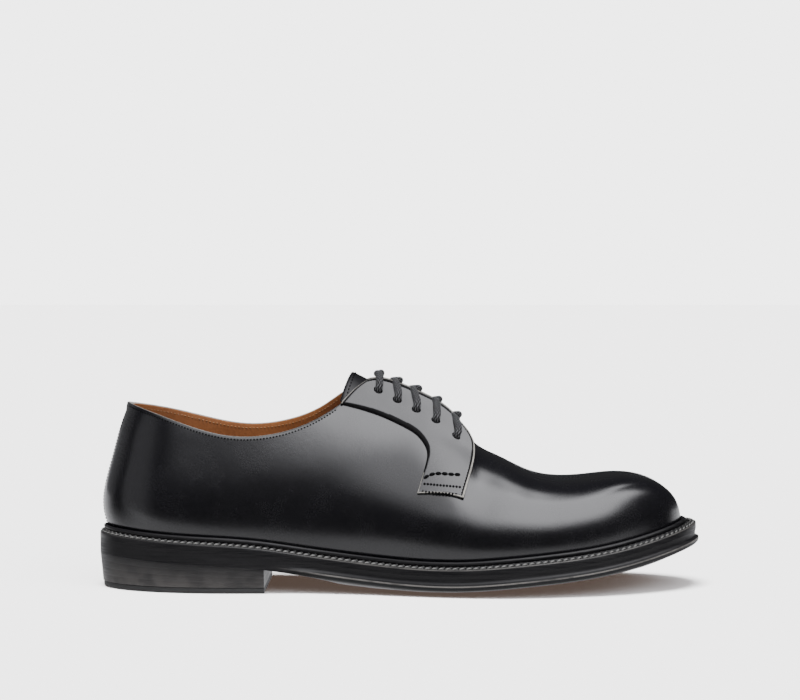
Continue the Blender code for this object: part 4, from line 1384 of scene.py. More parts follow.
@dataclass
class Upper:
    """Vamp and quarters in one hollow wall, with its lining, collar edge and back seam."""

    last: Last
    finishes: Finishes
    wall: float = 0.0020
    collar_rise: float = 0.0655
    medial_lift: float = 0.0032
    edge_band: float = 0.0006
    rows: int = 240
    columns: int = 64
    lining_columns: int = 24
    heel_knob: float = 0.0013
    knob_place: float = 0.0012
    knob_height: float = 0.0016
    knob_width: float = 0.006
    seam_groove: float = 0.00035
    seam_groove_width: float = 0.0007
    seam_bead: float = 0.00018
    seam_bead_aside: float = 0.0016
    seam_bead_width: float = 0.0009
    back_stitch_aside: float = 0.0017
    collar_stitch_inset: float = 0.0017
    lining_stitch_inset: float = 0.0024
    creases: tuple[Crease, ...] = (
        Crease(0.585, 0.00022, 0.020, 0.72, 0.24, 0.04),
        Crease(0.640, 0.00018, 0.018, 0.72, 0.24, 0.04),
        Crease(0.700, 0.00016, 0.022, 0.72, 0.24, 0.04),
        Crease(0.578, 0.00030, 0.030, 0.36, 0.06, 0.0),
    )
    rim_places: tuple[tuple[float, float], ...] = ((0.75, 0.10), (1.0, 0.30), (1.0, 0.66), (0.7, 0.92))

    def __post_init__(self) -> None:
        """Fit the collar and the throat."""
        self.collar = {name: track(COLLAR, name, ("toe",)) for name in Collar._fields[1:]}
        self.throat = track(THROAT, "up", ("heel", "toe"))
        self.throat_end = float(angle_share(THROAT[-1].along))

    def stations(self) -> np.ndarray:
        """Stations along the shoe, one of them just where the throat ends."""
        even = np.linspace(0, 1, self.rows + 1)
        even[np.argmin(np.abs(even - self.throat_end))] = self.throat_end
        return even

    def top_share(self, t: np.ndarray, side: Side) -> np.ndarray:
        """Share of the section at which the upper ends: collar, then throat, then the ridge."""
        last_row = angle_share(COLLAR[-1].along)
        held = np.minimum(t, last_row)
        medial = self.medial_lift * self.collar["medial"](held) * (side is Side.MEDIAL)
        rise = (self.collar_rise * self.collar["back"](held)
                + self.last.instep_rise * self.collar["instep"](held) + medial)
        collar = np.where(t > last_row, 1.0, self.last.share_at_height(t, side, rise))
        throat = np.where(t < angle_share(THROAT[0].along), 1.0, self.throat(t))
        joined = t >= self.throat_end - MERGE_DISTANCE
        return np.where(joined, 1.0, np.minimum(collar, throat))

    def relief(self, t: np.ndarray, side: Side, v: np.ndarray, top: np.ndarray) -> np.ndarray:
        """Height of the leather's face over the last: seam, knob, pulls and soft creases.

        Args:
            t: Stations.
            side: Which side of the shoe.
            v: Shares up the section.
            top: Share at which the section ends.

        Returns:
            Heights in metres.
        """
        point = self.last.surface(t, side, v)
        along = along_share(t)
        aside = np.abs(point[..., 1] - self.last.side_shift)
        behind = 1 - ramp(along, 0.02, 0.05)
        below_top = (top - v) / np.maximum(self.last.share_per_metre(t, side, v), 1e-6)
        groove = self.seam_groove * bump_shape(aside, 0, self.seam_groove_width)
        bead = self.seam_bead * bump_shape(aside, self.seam_bead_aside, self.seam_bead_width)
        knob = (self.heel_knob * bump_shape(below_top, self.knob_place, self.knob_height)
                * bump_shape(aside, 0, self.knob_width))
        height = (bead - groove + knob) * behind
        for crease in self.creases:
            middle = crease.along - crease.drift * (1 - v)
            height = height - (crease.depth * bump_shape(along, middle, crease.along_width)
                               * bump_shape(v, crease.up, crease.up_width))
        return height

    def make_wall(self) -> bpy.types.Object:
        """The leather itself: outer face, bevelled cut edge painted pale as its highlight, and lining, as
        one closed wall.

        Returns:
            The piece.
        """
        draft = Draft()
        t = self.stations()
        joined = t >= self.throat_end - MERGE_DISTANCE
        outer_shares = np.linspace(0, 1, self.columns + 1)
        inner_shares = np.linspace(0, 1, self.lining_columns + 1)
        for side in Side:
            top = self.top_share(t, side)
            metre = self.last.share_per_metre(t, side, top)
            band = np.where(joined, 0.0, self.edge_band * metre)
            end = (top - band)[:, None]
            v = end * outer_shares
            height = self.relief(t[:, None], side, v, top[:, None])
            outside = draft.add_points(self.last.point(t[:, None], side, v, height))
            inside = draft.add_points(self.last.point(t[:, None], side, end * inner_shares, -self.wall))
            draft.add_grid(outside)
            draft.add_grid(inside, LinedFace.LINING)
            draft.add_strip(outside[:, 0], inside[:, 0], LinedFace.EDGE)
            open_rows = np.concatenate([np.flatnonzero(~joined), np.flatnonzero(joined)[:1]])
            rim_t = t[open_rows, None]
            rim = [outside[open_rows, -1]]
            for share, depth in self.rim_places:
                rim_v = end[open_rows] + band[open_rows, None] * share
                lift = height[open_rows, -1:] * (1 - depth) - self.wall * depth
                rim.append(draft.add_points(self.last.point(rim_t, side, rim_v, lift))[:, 0])
            rim.append(inside[open_rows, -1])
            # The bands round the collar's rounded edge are painted pale as its highlight.
            edges = [LinedFace.EDGE] * (len(self.rim_places) - 1)
            for first, second, finish in zip(rim, rim[1:], [LinedFace.CALF, *edges, LinedFace.LINING]):
                draft.add_strip(first, second, finish)
        finishes = [self.finishes.calf, self.finishes.lining, self.finishes.cut_edge]
        return draft.make_object("vamp_and_quarters", finishes)

    def edge_seam(self, draft: Draft, row: StitchRow, below: float, offset: float) -> None:
        """Run stitches under the collar edge of both sides."""
        front = float(angle_share(FACING[0].inner_along)) - 0.004
        for side in Side:
            t = np.linspace(0.012, front, 220)
            top = self.top_share(t, side)
            v = top - below * self.last.share_per_metre(t, side, top)
            normal = self.last.normal(t, side, v)
            facing = normal if offset >= 0 else -normal
            row.run(draft, self.last.surface(t, side, v) + normal * offset, facing)

    def make_seams(self) -> bpy.types.Object:
        """Dark stitches under the collar and down both sides of the back seam."""
        draft = Draft()
        row = StitchRow(pitch=0.0016, length=0.00120, width=0.00080, rise=0.0)
        self.edge_seam(draft, row, self.collar_stitch_inset, 0.0)
        height = np.linspace(0.03, 0.93, 120)
        step = 10 * SMALL_SHARE
        for side in Side:
            t = np.zeros(height.shape)
            for _ in range(3):
                aside = np.abs(self.last.surface(t + step, side, height)[..., 1] - self.last.side_shift)
                t = (t + step) * self.back_stitch_aside / aside
            top = self.top_share(t, side)
            v = top * height
            lift = self.relief(t, side, v, top)
            row.run(draft, self.last.point(t, side, v, lift), self.last.normal(t, side, v))
        return draft.make_object("quarter_seams", [self.finishes.dark_thread])

    def make_lining_seam(self) -> bpy.types.Object:
        """Light stitches inside the collar."""
        draft = Draft()
        row = StitchRow(pitch=0.0019, length=0.0013, width=0.00045, rise=0.00014)
        self.edge_seam(draft, row, self.lining_stitch_inset, -self.wall)
        return draft.make_object("lining_seam", [self.finishes.light_thread])

    def build(self, facings: Facings) -> None:
        """Make the wall with its eyelet holes, and its seams."""
        wall = self.make_wall()
        for side in Side:
            facings.punch(wall, side)
        declare(wall, "black_leather", "upper")
        declare(self.make_seams(), "black_leather")
        declare(self.make_lining_seam(), "tan_leather")


@dataclass
class TonguePiece:
    """The tongue under the throat, with a rounded edge, a tan back and a stitched end."""

    last: Last
    finishes: Finishes
    half_width: float = 0.026
    thickness: float = 0.0024
    lift: float = 0.0016
    end_round: float = 0.0050
    gap: float = 0.0014
    upper_wall: float = 0.0020
    edge_round: float = 0.0012
    round_share: float = 0.4
    seam_inset: float = 0.0024
    seam_half: float = 0.94
    rows: int = 90
    columns: int = 48

    def __post_init__(self) -> None:
        """Fit the width and the lift."""
        self.curves = {name: track(TONGUE, name, ("heel", "toe")) for name in TongueRow._fields[1:]}

    def face(self, depth: np.ndarray, along: np.ndarray, across: np.ndarray) -> np.ndarray:
        """Points of the tongue at a depth under its face.

        Args:
            depth: Depth at each row and column.
            along: Share of the length of each row.
            across: Place of each column, from -1 to 1.

        Returns:
            Points, row by row.
        """
        free_end = (TONGUE[-1].along - along) / (TONGUE[-1].along - TONGUE[0].along)
        half = self.half_width * self.curves["half"](angle_share(along))
        lift = self.lift * self.curves["lift"](angle_share(along))
        columns = []
        for k, u in enumerate(across):
            side = Side.LATERAL if u < 0 else Side.MEDIAL
            t = angle_share(along + free_end * (1 - u * u) * self.end_round / self.last.length)
            if abs(u) < 1e-9:
                v = np.ones(along.shape)
            else:
                v = self.last.share_at_ridge_distance(t, side, abs(u) * half)
            offset = lift * (1 - u * u) ** 2 - self.upper_wall - self.gap - depth[:, k]
            columns.append(self.last.point(t, side, v, offset))
        return np.stack(columns, axis=1)

    def build(self) -> None:
        """Make the tongue and the seam near its free end."""
        along = np.linspace(TONGUE[0].along, TONGUE[-1].along, self.rows + 1)
        across = np.linspace(-1, 1, self.columns + 1)
        length = (TONGUE[-1].along - TONGUE[0].along) * self.last.length
        from_end = ((along - TONGUE[0].along) * self.last.length)[:, None]
        from_side = ((1 - np.abs(across)) * self.half_width)[None, :]
        border = np.minimum(np.minimum(from_end, length - from_end), from_side)
        inside = np.clip(border / self.edge_round, 0, 1)
        round_off = self.round_share * self.thickness * (1 - np.sqrt(1 - (1 - inside) ** 2))
        draft = Draft()
        top = draft.add_points(self.face(round_off, along, across))
        under = draft.add_points(self.face(self.thickness - round_off, along, across))
        draft.add_grid(top)
        draft.add_grid(under, LinedFace.LINING)
        draft.join_edges(top, under, LinedFace.EDGE)
        finishes = [self.finishes.tongue_calf, self.finishes.lining, self.finishes.dark_edge]
        declare(draft.make_object("stitched_tongue", finishes), "black_leather", "tongue")
        seam = Draft()
        near = TONGUE[0].along + self.seam_inset / self.last.length
        wide = np.linspace(-self.seam_half, self.seam_half, 60)
        strip = self.face(np.zeros((2, 60)), np.array([near, near + SMALL_SHARE]), wide)
        path = strip[0]
        normals = unit(np.cross(strip[1] - strip[0], np.gradient(path, axis=0)))
        normals = normals * np.sign(normals[:, 2:3])
        StitchRow(pitch=0.0022, length=0.0016, width=0.00065, rise=0.00012).run(seam, path, normals)
        declare(seam.make_object("tongue_seam", [self.finishes.dark_thread]), "black_leather")


@dataclass
class Laces:
    """Straight bars of round braided lace, one through each pair of eyelets."""

    last: Last
    finishes: Finishes
    facings: Facings
    diameter: float = 0.0037
    hidden_depth: float = 0.0012
    crest: float = 0.985
    strands: int = 8
    strand_pitch: float = 0.0012
    seat: float = 0.0004
    strand_relief: float = 0.00036
    under_strand: float = 0.3
    rim_degrees: tuple[float, ...] = (30, 60, 90)
    crest_shares: tuple[float, ...] = (0.33, 0.67, 1.0)
    rings: int = 300
    sides: int = 48

    def side_points(self, t: float, v: float, side: Side, drift: float,
                    drop: float) -> list[np.ndarray]:
        """Lace centre from inside its eyelet, round the rim and over to the throat, with its drift."""
        rim = self.diameter / 2
        top = self.facings.lift + self.facings.thickness
        metre = float(self.last.share_per_metre(np.array(t), side, np.array(v)))
        places = [(0.0, -self.hidden_depth), (0.0, top * 0.5), (0.0, top)]
        for degrees in self.rim_degrees:
            turn = math.radians(degrees)
            places.append((rim * (1 - math.cos(turn)), top + rim * math.sin(turn)))
        v = v + self.seat * metre
        points = [self.last.point(t, side, v + run * metre, offset) for run, offset in places]
        start = v + rim * metre
        for share in self.crest_shares:
            height = top + rim - drop * share * share
            point = self.last.point(t, side, start + (self.crest - start) * share, height)
            points.append(point + np.array([drift * share, 0.0, 0.0]))
        return points

    def braid(self, reach: np.ndarray, angle: np.ndarray) -> np.ndarray:
        """Height of the braid over its core, from 0 to 1, by place along and round the lace."""
        run = reach[:, None] / self.strand_pitch
        turn = angle[None, :] * self.strands / (2 * math.pi)
        one = turn - run / 2
        other = turn + run / 2
        over = (np.round(one) + np.round(other)) % 2 == 0
        one_height = np.cos(math.pi * (one - np.round(one))) * np.where(over, 1, self.under_strand)
        other_height = np.cos(math.pi * (other - np.round(other))) * np.where(over, self.under_strand, 1)
        return np.maximum(one_height, other_height)

    def make_bar(self, number: int, t: float, v: float) -> bpy.types.Object:
        """One bar of lace.

        Args:
            number: Place of the bar, from the top down.
            t: Station of its eyelets.
            v: Share of the section at its eyelets.

        Returns:
            The piece.
        """
        drift = BAR_DRIFTS[number - 1]
        lateral = self.side_points(t, v, Side.LATERAL, drift.near, drift.drop)
        medial = self.side_points(t, v, Side.MEDIAL, drift.far, drift.drop)
        path = through(np.array(lateral + medial[::-1]), self.rings)
        angle, directions = sweep(path, self.sides)
        height = self.braid(reach_along(path), angle)
        radius = self.diameter / 2 - self.strand_relief * (1 - height)
        rings = path[:, None, :] + directions * radius[..., None]
        draft = Draft()
        # The braid's height also sets the painted highlight on each strand's crown.
        draft.add_tube(rings, crown=height)
        return draft.make_object(f"braided_lace_{number}", [self.finishes.lace])

    def build(self) -> None:
        """Make every bar."""
        for k, (t, v) in enumerate(self.facings.eyelets()):
            declare(self.make_bar(k + 1, t, v), "lace_cotton", f"lace_bar_{k + 1}")


@dataclass
class Bottom:
    """Welt, outsole, heel and insole: everything under the upper."""

    last: Last
    finishes: Finishes
    welt_thickness: float = 0.0032
    welt_flange: float = 0.0042
    rib_height: float = 0.0036
    rib_width: float = 0.0026
    outsole_thickness: float = 0.0066
    tread_crown: float = 0.0036
    tread_wear: float = 0.0006
    sole_hollow: float = 0.0004
    lip_height: float = 0.0022
    heel_length: float = 0.0852
    heel_taper: float = 0.0018
    lift_thickness: float = 0.0030
    insole_thickness: float = 0.0030
    upper_wall: float = 0.0020
    gap: float = 0.0003
    seam_share: float = 0.74
    seam_channel: float = 0.08
    rib_degrees: tuple[float, ...] = (165, 140, 115, 90, 65, 40, 15, -10, -35)
    rib_middle: float = 0.56
    edge_shares: tuple[float, ...] = (0.15, 0.3, 0.45, 0.6, 0.75, 0.84, 0.90, 0.95)
    tread_places: tuple[tuple[float, float], ...] = ((0.96, 0.06), (0.9, 0.18), (0.7, 0.55), (0.42, 1.0),
                                                     (0.15, 1.0))
    heel_round: float = 0.00002
    heel_layers: int = 4
    sock_dish: float = 0.0007
    rows: int = 220
    heel_rows: int = 90

    def edge_points(self, t: np.ndarray, side: Side, out: float | np.ndarray,
                    height: float | np.ndarray) -> np.ndarray:
        """Points at a distance out from the feather line and a height over the welt's top face."""
        x, y = self.last.offset_plan(t, side, out)
        return np.stack([x, y, self.last.welt_level(x) + height], -1)

    def rib_points(self, t: np.ndarray, side: Side, share: float, out: float) -> np.ndarray:
        """Points of the storm rib, which follows the upper's own wall."""
        v = self.last.share_at_height(t, side, self.rib_height * share)
        surface = self.last.surface(t, side, v)
        nx, ny = self.last.plan_normal(t, side)
        x = surface[..., 0] + nx * out
        y = surface[..., 1] + ny * out
        return np.stack([x, y, self.last.welt_level(x) + self.rib_height * share], -1)

    def sole_bottom(self) -> float:
        """Height of the flat tread over the welt's top face."""
        return -self.welt_thickness - self.gap - self.outsole_thickness

    def breast_share(self) -> float:
        """Share of the last's length at which the heel ends."""
        return (self.heel_length - self.last.welt_reach_heel) / self.last.length

    def forepart(self, t: np.ndarray, start: float, end: float) -> np.ndarray:
        """Rises from 0 at the heel's front to 1 along the waist."""
        breast = self.breast_share()
        return ramp(along_share(t), breast + start, breast + end)

    def edge_rows(self, t: np.ndarray, side: Side, rows: Sequence[EdgeRow]) -> list[np.ndarray]:
        """Points of some lines round an edge."""
        return [self.edge_points(t, side, row.out, row.height) for row in rows]

    def welt_columns(self, t: np.ndarray, side: Side) -> tuple[list[np.ndarray], list[float]]:
        """Section of the welt from its inner edge, over the rib and out.

        Args:
            t: Stations.
            side: Which side of the shoe.

        Returns:
            Points of every column, and how much pale rim colour each column takes.
        """
        reach = self.last.welt_reach(t)
        thick = self.welt_thickness
        clear = self.gap * 0.5
        inner = [EdgeRow(-self.welt_flange, -thick), EdgeRow(-self.welt_flange, -self.gap),
                 EdgeRow(clear, -self.gap)]
        rib = [self.rib_points(t, side, 0.3, clear)]
        for degrees in self.rib_degrees:
            turn = math.radians(degrees)
            rib.append(self.rib_points(t, side, self.rib_middle + (1 - self.rib_middle) * math.sin(turn),
                                       clear + self.rib_width * (0.5 + 0.5 * math.cos(turn))))
        outer = [
            EdgeRow(reach * 0.52, 0.0001),
            EdgeRow(reach * 0.57, -0.0004),
            EdgeRow(reach * 0.61, -0.0001),
            EdgeRow(reach * (self.seam_share - self.seam_channel), 0.0002),
            EdgeRow(reach * self.seam_share, -0.0003),
            EdgeRow(reach * (self.seam_share + self.seam_channel), 0.0002),
            # Painted highlight along the welt's outer top corner.
            EdgeRow(reach - 0.0006, 0.0001),
            EdgeRow(reach - 0.00025, -0.00005, 0.5),
            EdgeRow(reach - 0.00008, -0.0003, 0.5),
            EdgeRow(reach, -0.0007),
            EdgeRow(reach, -thick * 0.55),
            EdgeRow(reach, -thick * 0.85),
            EdgeRow(reach, -thick),
        ]
        pale_rim = [0.0] * (len(inner) + len(rib)) + [row.pale_rim for row in outer]
        return [*self.edge_rows(t, side, inner), *rib, *self.edge_rows(t, side, outer)], pale_rim

    def make_welt(self) -> bpy.types.Object:
        """Welt with its storm rib, groove and stitching channel, round the whole shoe."""
        t = np.linspace(0, 1, self.rows + 1)
        lateral, pale_rim = self.welt_columns(t, Side.LATERAL)
        medial, _ = self.welt_columns(t[-2:0:-1], Side.MEDIAL)
        lateral = np.stack(lateral, 1)
        fore = 0.2 + 0.8 * self.forepart(np.concatenate([t, t[-2:0:-1], t[:1]]), 0.0, 0.2)
        draft = Draft()
        draft.add_closed_grid(draft.add_points(np.concatenate([lateral, np.stack(medial, 1), lateral[:1]]),
                                               rim=fore[:, None] * np.array(pale_rim)))
        return draft.make_object("storm_welt", [self.finishes.welt])

    def make_welt_seam(self) -> bpy.types.Object:
        """Twisted stitches in the welt's channel all round."""
        row = StitchRow(pitch=0.0034, length=0.0038, width=0.00160, rise=0.00055, twist_turns=0.5,
                        slant=0.00070, climb=0.00060, rings=9, sides=8)
        t = np.linspace(0, 1, self.rows + 1)
        runs = []
        for side, stations in ((Side.LATERAL, t), (Side.MEDIAL, t[-2::-1])):
            out = self.last.welt_reach(stations) * self.seam_share
            runs.append(self.edge_points(stations, side, out, 0.0))
        path = np.concatenate(runs)
        draft = Draft()
        row.run(draft, path, np.tile([0.0, 0.0, 1.0], (len(path), 1)))
        return draft.make_object("welt_seam", [self.finishes.welt_thread])

    def outsole_columns(self, t: np.ndarray, side: Side) -> tuple[list[np.ndarray], list[float]]:
        """Edge of the outsole from its top face down and round the lip: points and pale rim shares."""
        reach = self.last.welt_reach(t)
        top = -self.welt_thickness - self.gap * 0.1
        low = self.sole_bottom() + self.lip_height
        lip = self.last.lip_reach * self.forepart(t, 0.03, 0.12)
        hollow = self.sole_hollow * self.forepart(t, 0.0, 0.10)
        rows = [EdgeRow(-self.welt_flange, top), EdgeRow(reach, top)]
        for share in self.edge_shares:
            sag = hollow * math.sin(math.pi * share)
            flare = lip * 0.9 * float(ramp(share, 0.72, 1.02))
            rows.append(EdgeRow(reach - sag + flare, top + (low - top) * share))
        rows += [
            # Painted highlight along the top of the lip.
            EdgeRow(reach + lip * 0.95, low + 0.0001, 1.0),
            EdgeRow(reach + lip, low - 0.0003, 1.0),
            EdgeRow(reach + lip * 0.98, low - 0.0007),
            EdgeRow(reach + lip * 0.9, low - self.lip_height * 0.55),
            EdgeRow(reach + lip * 0.75, low - self.lip_height * 0.85),
            EdgeRow(reach + lip * 0.5, self.sole_bottom()),
        ]
        return self.edge_rows(t, side, rows), [row.pale_rim for row in rows]

    def make_outsole(self) -> bpy.types.Object:
        """Leather outsole: hollowed edge with a rounded lip, and a crowned tread."""
        t = np.linspace(0, 1, self.rows + 1)
        lateral, pale_rim = self.outsole_columns(t, Side.LATERAL)
        medial, _ = self.outsole_columns(t, Side.MEDIAL)
        fore = self.forepart(t, 0.02, 0.14) * (1 - ramp(along_share(t), 0.90, 1.0))
        places = [*self.tread_places, *((-across, drop) for across, drop in self.tread_places[::-1])]
        tread = []
        for across, drop in places:
            point = lateral[-1] * (1 + across) / 2 + medial[-1] * (1 - across) / 2
            height = self.last.welt_level(point[:, 0]) + self.sole_bottom()
            point[:, 2] = np.maximum(height - (self.tread_crown * drop + self.tread_wear) * fore, 0.0)
            tread.append(point)
        points = np.stack([*lateral, *tread, *medial[::-1]], 1)
        pale_rims = np.array([*pale_rim, *([0.0] * len(tread)), *pale_rim[::-1]])
        draft = Draft()
        draft.add_closed_grid(draft.add_points(points, rim=self.forepart(t, 0.0, 0.12)[:, None] * pale_rims))
        return draft.make_object("hollow_edge_outsole", [self.finishes.sole])

    def make_layer(self, name: str, levels: Sequence[HeelLevel], reach_up: bool,
                   finish: bpy.types.Material) -> bpy.types.Object:
        """One closed piece of the heel.

        Args:
            name: Name of the piece.
            levels: Lines round the piece, from the top down.
            reach_up: Whether the piece reaches up to the outsole, or is the top lift.
            finish: Its material.

        Returns:
            The piece.
        """
        t = np.linspace(0, 1, self.heel_rows + 1) * float(angle_share(self.breast_share()))
        breast_x = self.last.heel_x - self.last.welt_reach_heel + self.heel_length
        lateral, medial = [], []
        for side, columns in ((Side.LATERAL, lateral), (Side.MEDIAL, medial)):
            for level in levels:
                x, y = self.last.offset_plan(t, side, self.last.welt_reach(t) - level.inset)
                x = np.minimum(x, breast_x)
                x[-1] = breast_x
                if reach_up:
                    top = self.last.welt_level(x) + self.sole_bottom() - self.gap * 0.3
                    height = level.share * top + (1 - level.share) * self.lift_thickness
                else:
                    height = np.full(x.shape, level.share * self.lift_thickness)
                columns.append(np.stack([x, y, height], -1))
        points = np.stack([*lateral, *medial[::-1]], 1)
        pale_rims = [level.pale_rim for level in levels]
        draft = Draft()
        numbers = draft.add_points(points, rim=np.broadcast_to([*pale_rims, *pale_rims[::-1]], points.shape[:-1]))
        draft.add_closed_grid(numbers)
        breast = numbers[-1]
        for k in range(len(levels) - 1):
            draft.add_face((breast[k], breast[k + 1], breast[-2 - k], breast[-1 - k]))
        return draft.make_object(name, [finish])

    def make_heel(self) -> bpy.types.Object:
        """Stacked leather heel, with a fine line between its layers."""
        taper = self.heel_taper * 0.8
        edge = self.heel_round
        levels = [HeelLevel(1.0, 0.0)]
        for layer in range(self.heel_layers, 0, -1):
            for place, cut in ((0.985, edge), (0.95, 0.0), (0.5, 0.0), (0.05, 0.0), (0.015, edge)):
                share = (layer - 1 + place) / self.heel_layers
                # Each layer is paler towards the bottom of the heel.
                levels.append(HeelLevel(share, taper * (1 - share) + cut, 0.9 * (1 - share)))
        levels.append(HeelLevel(0.0, taper + 0.0002, 0.2))
        return self.make_layer("stacked_heel", levels, True, self.finishes.heel)

    def make_lift(self) -> bpy.types.Object:
        """Rubber top lift with eased edges."""
        levels = [HeelLevel(share, self.heel_taper + cut) for share, cut in (
            (1.0, 0.0003), (0.93, 0.0), (0.6, 0.0), (0.25, 0.00005), (0.1, 0.0003), (0.0, 0.0009))]
        return self.make_layer("rubber_top_lift", levels, False, self.finishes.rubber)

    def make_insole(self) -> bpy.types.Object:
        """Insole with its tan sock, a little dished where the heel and ball rest."""
        wide = self.upper_wall + 2 * self.gap
        narrow = self.welt_flange + self.gap
        thick = self.insole_thickness
        profile = [EdgeRow(-narrow, -self.welt_thickness), EdgeRow(-narrow, -self.gap),
                   EdgeRow(-wide, -self.gap * 0.2), EdgeRow(-wide, thick * 0.6),
                   EdgeRow(-wide - 0.0008, thick * 0.95)]
        t = np.linspace(0, 1, self.rows + 1)
        lateral, medial = (self.edge_rows(t, side, profile) for side in Side)
        along = along_share(t)
        dish = self.sock_dish * (bump_shape(along, 0.16, 0.10) + bump_shape(along, 0.68, 0.12))
        crown = []
        for share in np.linspace(0, 1, 15)[1:-1]:
            point = lateral[-1] * (1 - share) + medial[-1] * share
            point[:, 2] = self.last.welt_level(point[:, 0]) + thick - dish * math.sin(math.pi * share)
            crown.append(point)
        draft = Draft()
        draft.add_closed_grid(draft.add_points(np.stack([*lateral, *crown, *medial[::-1]], 1)))
        return draft.make_object("sock_lined_insole", [self.finishes.sock])

    def build(self) -> None:
        """Make every piece under the upper."""
        declare(self.make_insole(), "tan_leather", "insole")
        declare(self.make_welt(), "sole_leather", "welt")
        declare(self.make_welt_seam(), "sole_leather")
        declare(self.make_outsole(), "sole_leather", "outsole")
        declare(self.make_heel(), "sole_leather", "heel_stack")
        declare(self.make_lift(), "rubber", "heel_top_lift")


class Panel(NamedTuple):
    """A soft-edged panel of light: degrees up from the front floor, degrees aside, strength."""

    rise: tuple[float, float]
    fall: tuple[float, float]
    left: tuple[float, float]
    right: tuple[float, float]
    strength: float


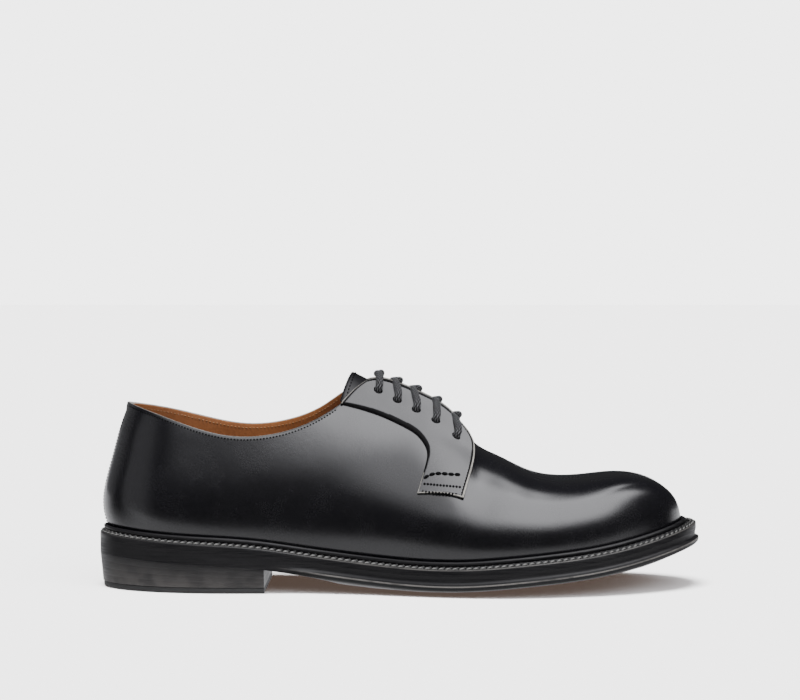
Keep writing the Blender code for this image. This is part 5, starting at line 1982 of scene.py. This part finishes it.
@dataclass
class Studio:
    """Pale floor and room, soft panels of light, and the camera."""

    background: float = 4.20
    floor_albedo: float = 0.80
    floor_fill: tuple[float, float, float] = (0.09, 0.06, 0.045)
    floor_size: float = 40.0
    dark_room: float = 0.04
    room_tint: tuple[float, float, float] = (0.97, 0.97, 1.0)
    floor_tone: float = 1.45
    floor_rise: tuple[float, float] = (-21, -33)
    floor_left: tuple[float, float] = (-84, -52)
    floor_right: tuple[float, float] = (78, 58)
    diffuse_share: float = 0.32
    sun_strength: float = 12.0
    sun_angle: float = 30.0
    sun_tilt: tuple[float, float] = (12.0, -6.0)
    focal_pixels: float = 2166.0
    image_width: float = 800.0
    sensor: float = 36.0
    camera_place: tuple[float, float, float] = (0.0, -1.1, 0.150)
    horizon_above_centre: float = 60.4
    panels: tuple[Panel, ...] = (
        Panel((6, 34), (90, 72), (-10, 8), (60, 42), 5.3),
        Panel((6, 34), (96, 78), (-44, -20), (60, 42), 2.7),
        Panel((72, 88), (118, 98), (6, 18), (28, 19), 6.2),
        Panel((74, 88), (99, 88), (-16, 2), (14, 4), 4.5),
        Panel((-45, -25), (80, 50), (-88, -76), (-44, -58), 0.55),
        Panel((95, 130), (200, 190), (-84, -72), (-12, -30), 0.25),
    )

    def make_camera(self) -> None:
        """Camera at the photograph's place and angle."""
        lens = bpy.data.cameras.new("camera")
        lens.sensor_width = self.sensor
        lens.lens = self.focal_pixels * self.sensor / self.image_width
        camera = bpy.data.objects.new("camera", lens)
        camera.location = self.camera_place
        pitch = math.atan(self.horizon_above_centre / self.focal_pixels)
        camera.rotation_euler = (math.radians(90) - pitch, 0, 0)
        bpy.context.scene.collection.objects.link(camera)
        bpy.context.scene.camera = camera

    def make_floor(self) -> None:
        """Large pale floor that glossy rays pass through, so that leather shows a calm tone."""
        half = self.floor_size / 2
        mesh = bpy.data.meshes.new("studio_floor")
        mesh.from_pydata([(-half, -half, 0), (half, -half, 0), (half, half, 0), (-half, half, 0)], [],
                         [(0, 1, 2, 3)])
        graph = Graph("studio_floor")
        graph.put(Socket.COLOUR, (*(self.floor_albedo,) * 3, 1))
        graph.put(Socket.ROUGHNESS, 1.0)
        graph.put(Socket.SPECULAR, 0.0)
        graph.put(Socket.GLOW, (*self.floor_fill, 1))
        graph.put(Socket.GLOW_STRENGTH, 1.0)
        mesh.materials.append(graph.material)
        floor = bpy.data.objects.new("studio_floor", mesh)
        floor.visible_glossy = False
        bpy.context.scene.collection.objects.link(floor)

    def make_sun(self) -> None:
        """Very soft overhead light that leaves no glare in the leather."""
        lamp = bpy.data.lights.new("overhead_softbox", "SUN")
        lamp.energy = self.sun_strength
        lamp.angle = math.radians(self.sun_angle)
        sun = bpy.data.objects.new("overhead_softbox", lamp)
        sun.rotation_euler = (math.radians(self.sun_tilt[0]), math.radians(self.sun_tilt[1]), 0)
        sun.visible_glossy = False
        bpy.context.scene.collection.objects.link(sun)

    def make_room(self) -> None:
        """Room light: flat pale behind the shoe, and soft panels that only the shoe sees."""
        world = bpy.data.worlds.new("studio_room")
        world.use_nodes = True
        bpy.context.scene.world = world
        room = Nodes(world.node_tree)
        room.tree.nodes.clear()
        split = room.add("ShaderNodeSeparateXYZ")
        room.join(room.add("ShaderNodeTexCoord").outputs["Generated"], split.inputs[0])
        x, y, z = split.outputs
        degrees = 180 / math.pi
        upward = room.math("MULTIPLY", room.math("ARCTAN2", z, room.math("MULTIPLY", y, -1.0)), degrees)
        aside = room.math("MULTIPLY", room.math("ARCSINE", x), degrees)
        floor = room.math("MULTIPLY", room.fade(upward, *self.floor_rise),
                          room.fade(aside, *self.floor_left))
        floor = room.math("MULTIPLY", floor, room.fade(aside, *self.floor_right))
        light = room.math("ADD", room.math("MULTIPLY", floor, self.floor_tone), self.dark_room)
        for panel in self.panels:
            height = room.math("MULTIPLY", room.fade(upward, *panel.rise), room.fade(upward, *panel.fall))
            width = room.math("MULTIPLY", room.fade(aside, *panel.left), room.fade(aside, *panel.right))
            mask = room.math("MULTIPLY", height, width)
            light = room.math("ADD", light, room.math("MULTIPLY", mask, panel.strength))
        ray = room.add("ShaderNodeLightPath").outputs
        less = room.math("MULTIPLY", ray["Is Diffuse Ray"], 1 - self.diffuse_share)
        panels = room.add("ShaderNodeBackground")
        room.join((*self.room_tint, 1), panels.inputs["Color"])
        room.join(room.math("MULTIPLY", light, room.math("SUBTRACT", 1.0, less)), panels.inputs["Strength"])
        backdrop = room.add("ShaderNodeBackground")
        room.join((1, 1, 1, 1), backdrop.inputs["Color"])
        room.join(self.background, backdrop.inputs["Strength"])
        choose = room.add("ShaderNodeMixShader")
        for source, socket in zip((ray["Is Camera Ray"], panels.outputs[0], backdrop.outputs[0]),
                                  choose.inputs):
            room.join(source, socket)
        room.join(choose.outputs[0], room.add("ShaderNodeOutputWorld").inputs["Surface"])

    def build(self) -> None:
        """Set up the room, its floor, its light and the camera."""
        self.make_camera()
        self.make_floor()
        self.make_sun()
        self.make_room()


def main() -> None:
    """Build the shoe from the inside out, then its studio."""
    logging.basicConfig(level=logging.INFO, format="%(name)s %(message)s")
    last = Last()
    finishes = Finishes()
    facings = Facings(last, finishes)
    Studio().build()
    Bottom(last, finishes).build()
    TonguePiece(last, finishes).build()
    Upper(last, finishes).build(facings)
    facings.build()
    Laces(last, finishes, facings).build()


if __name__ == "__main__":
    main()
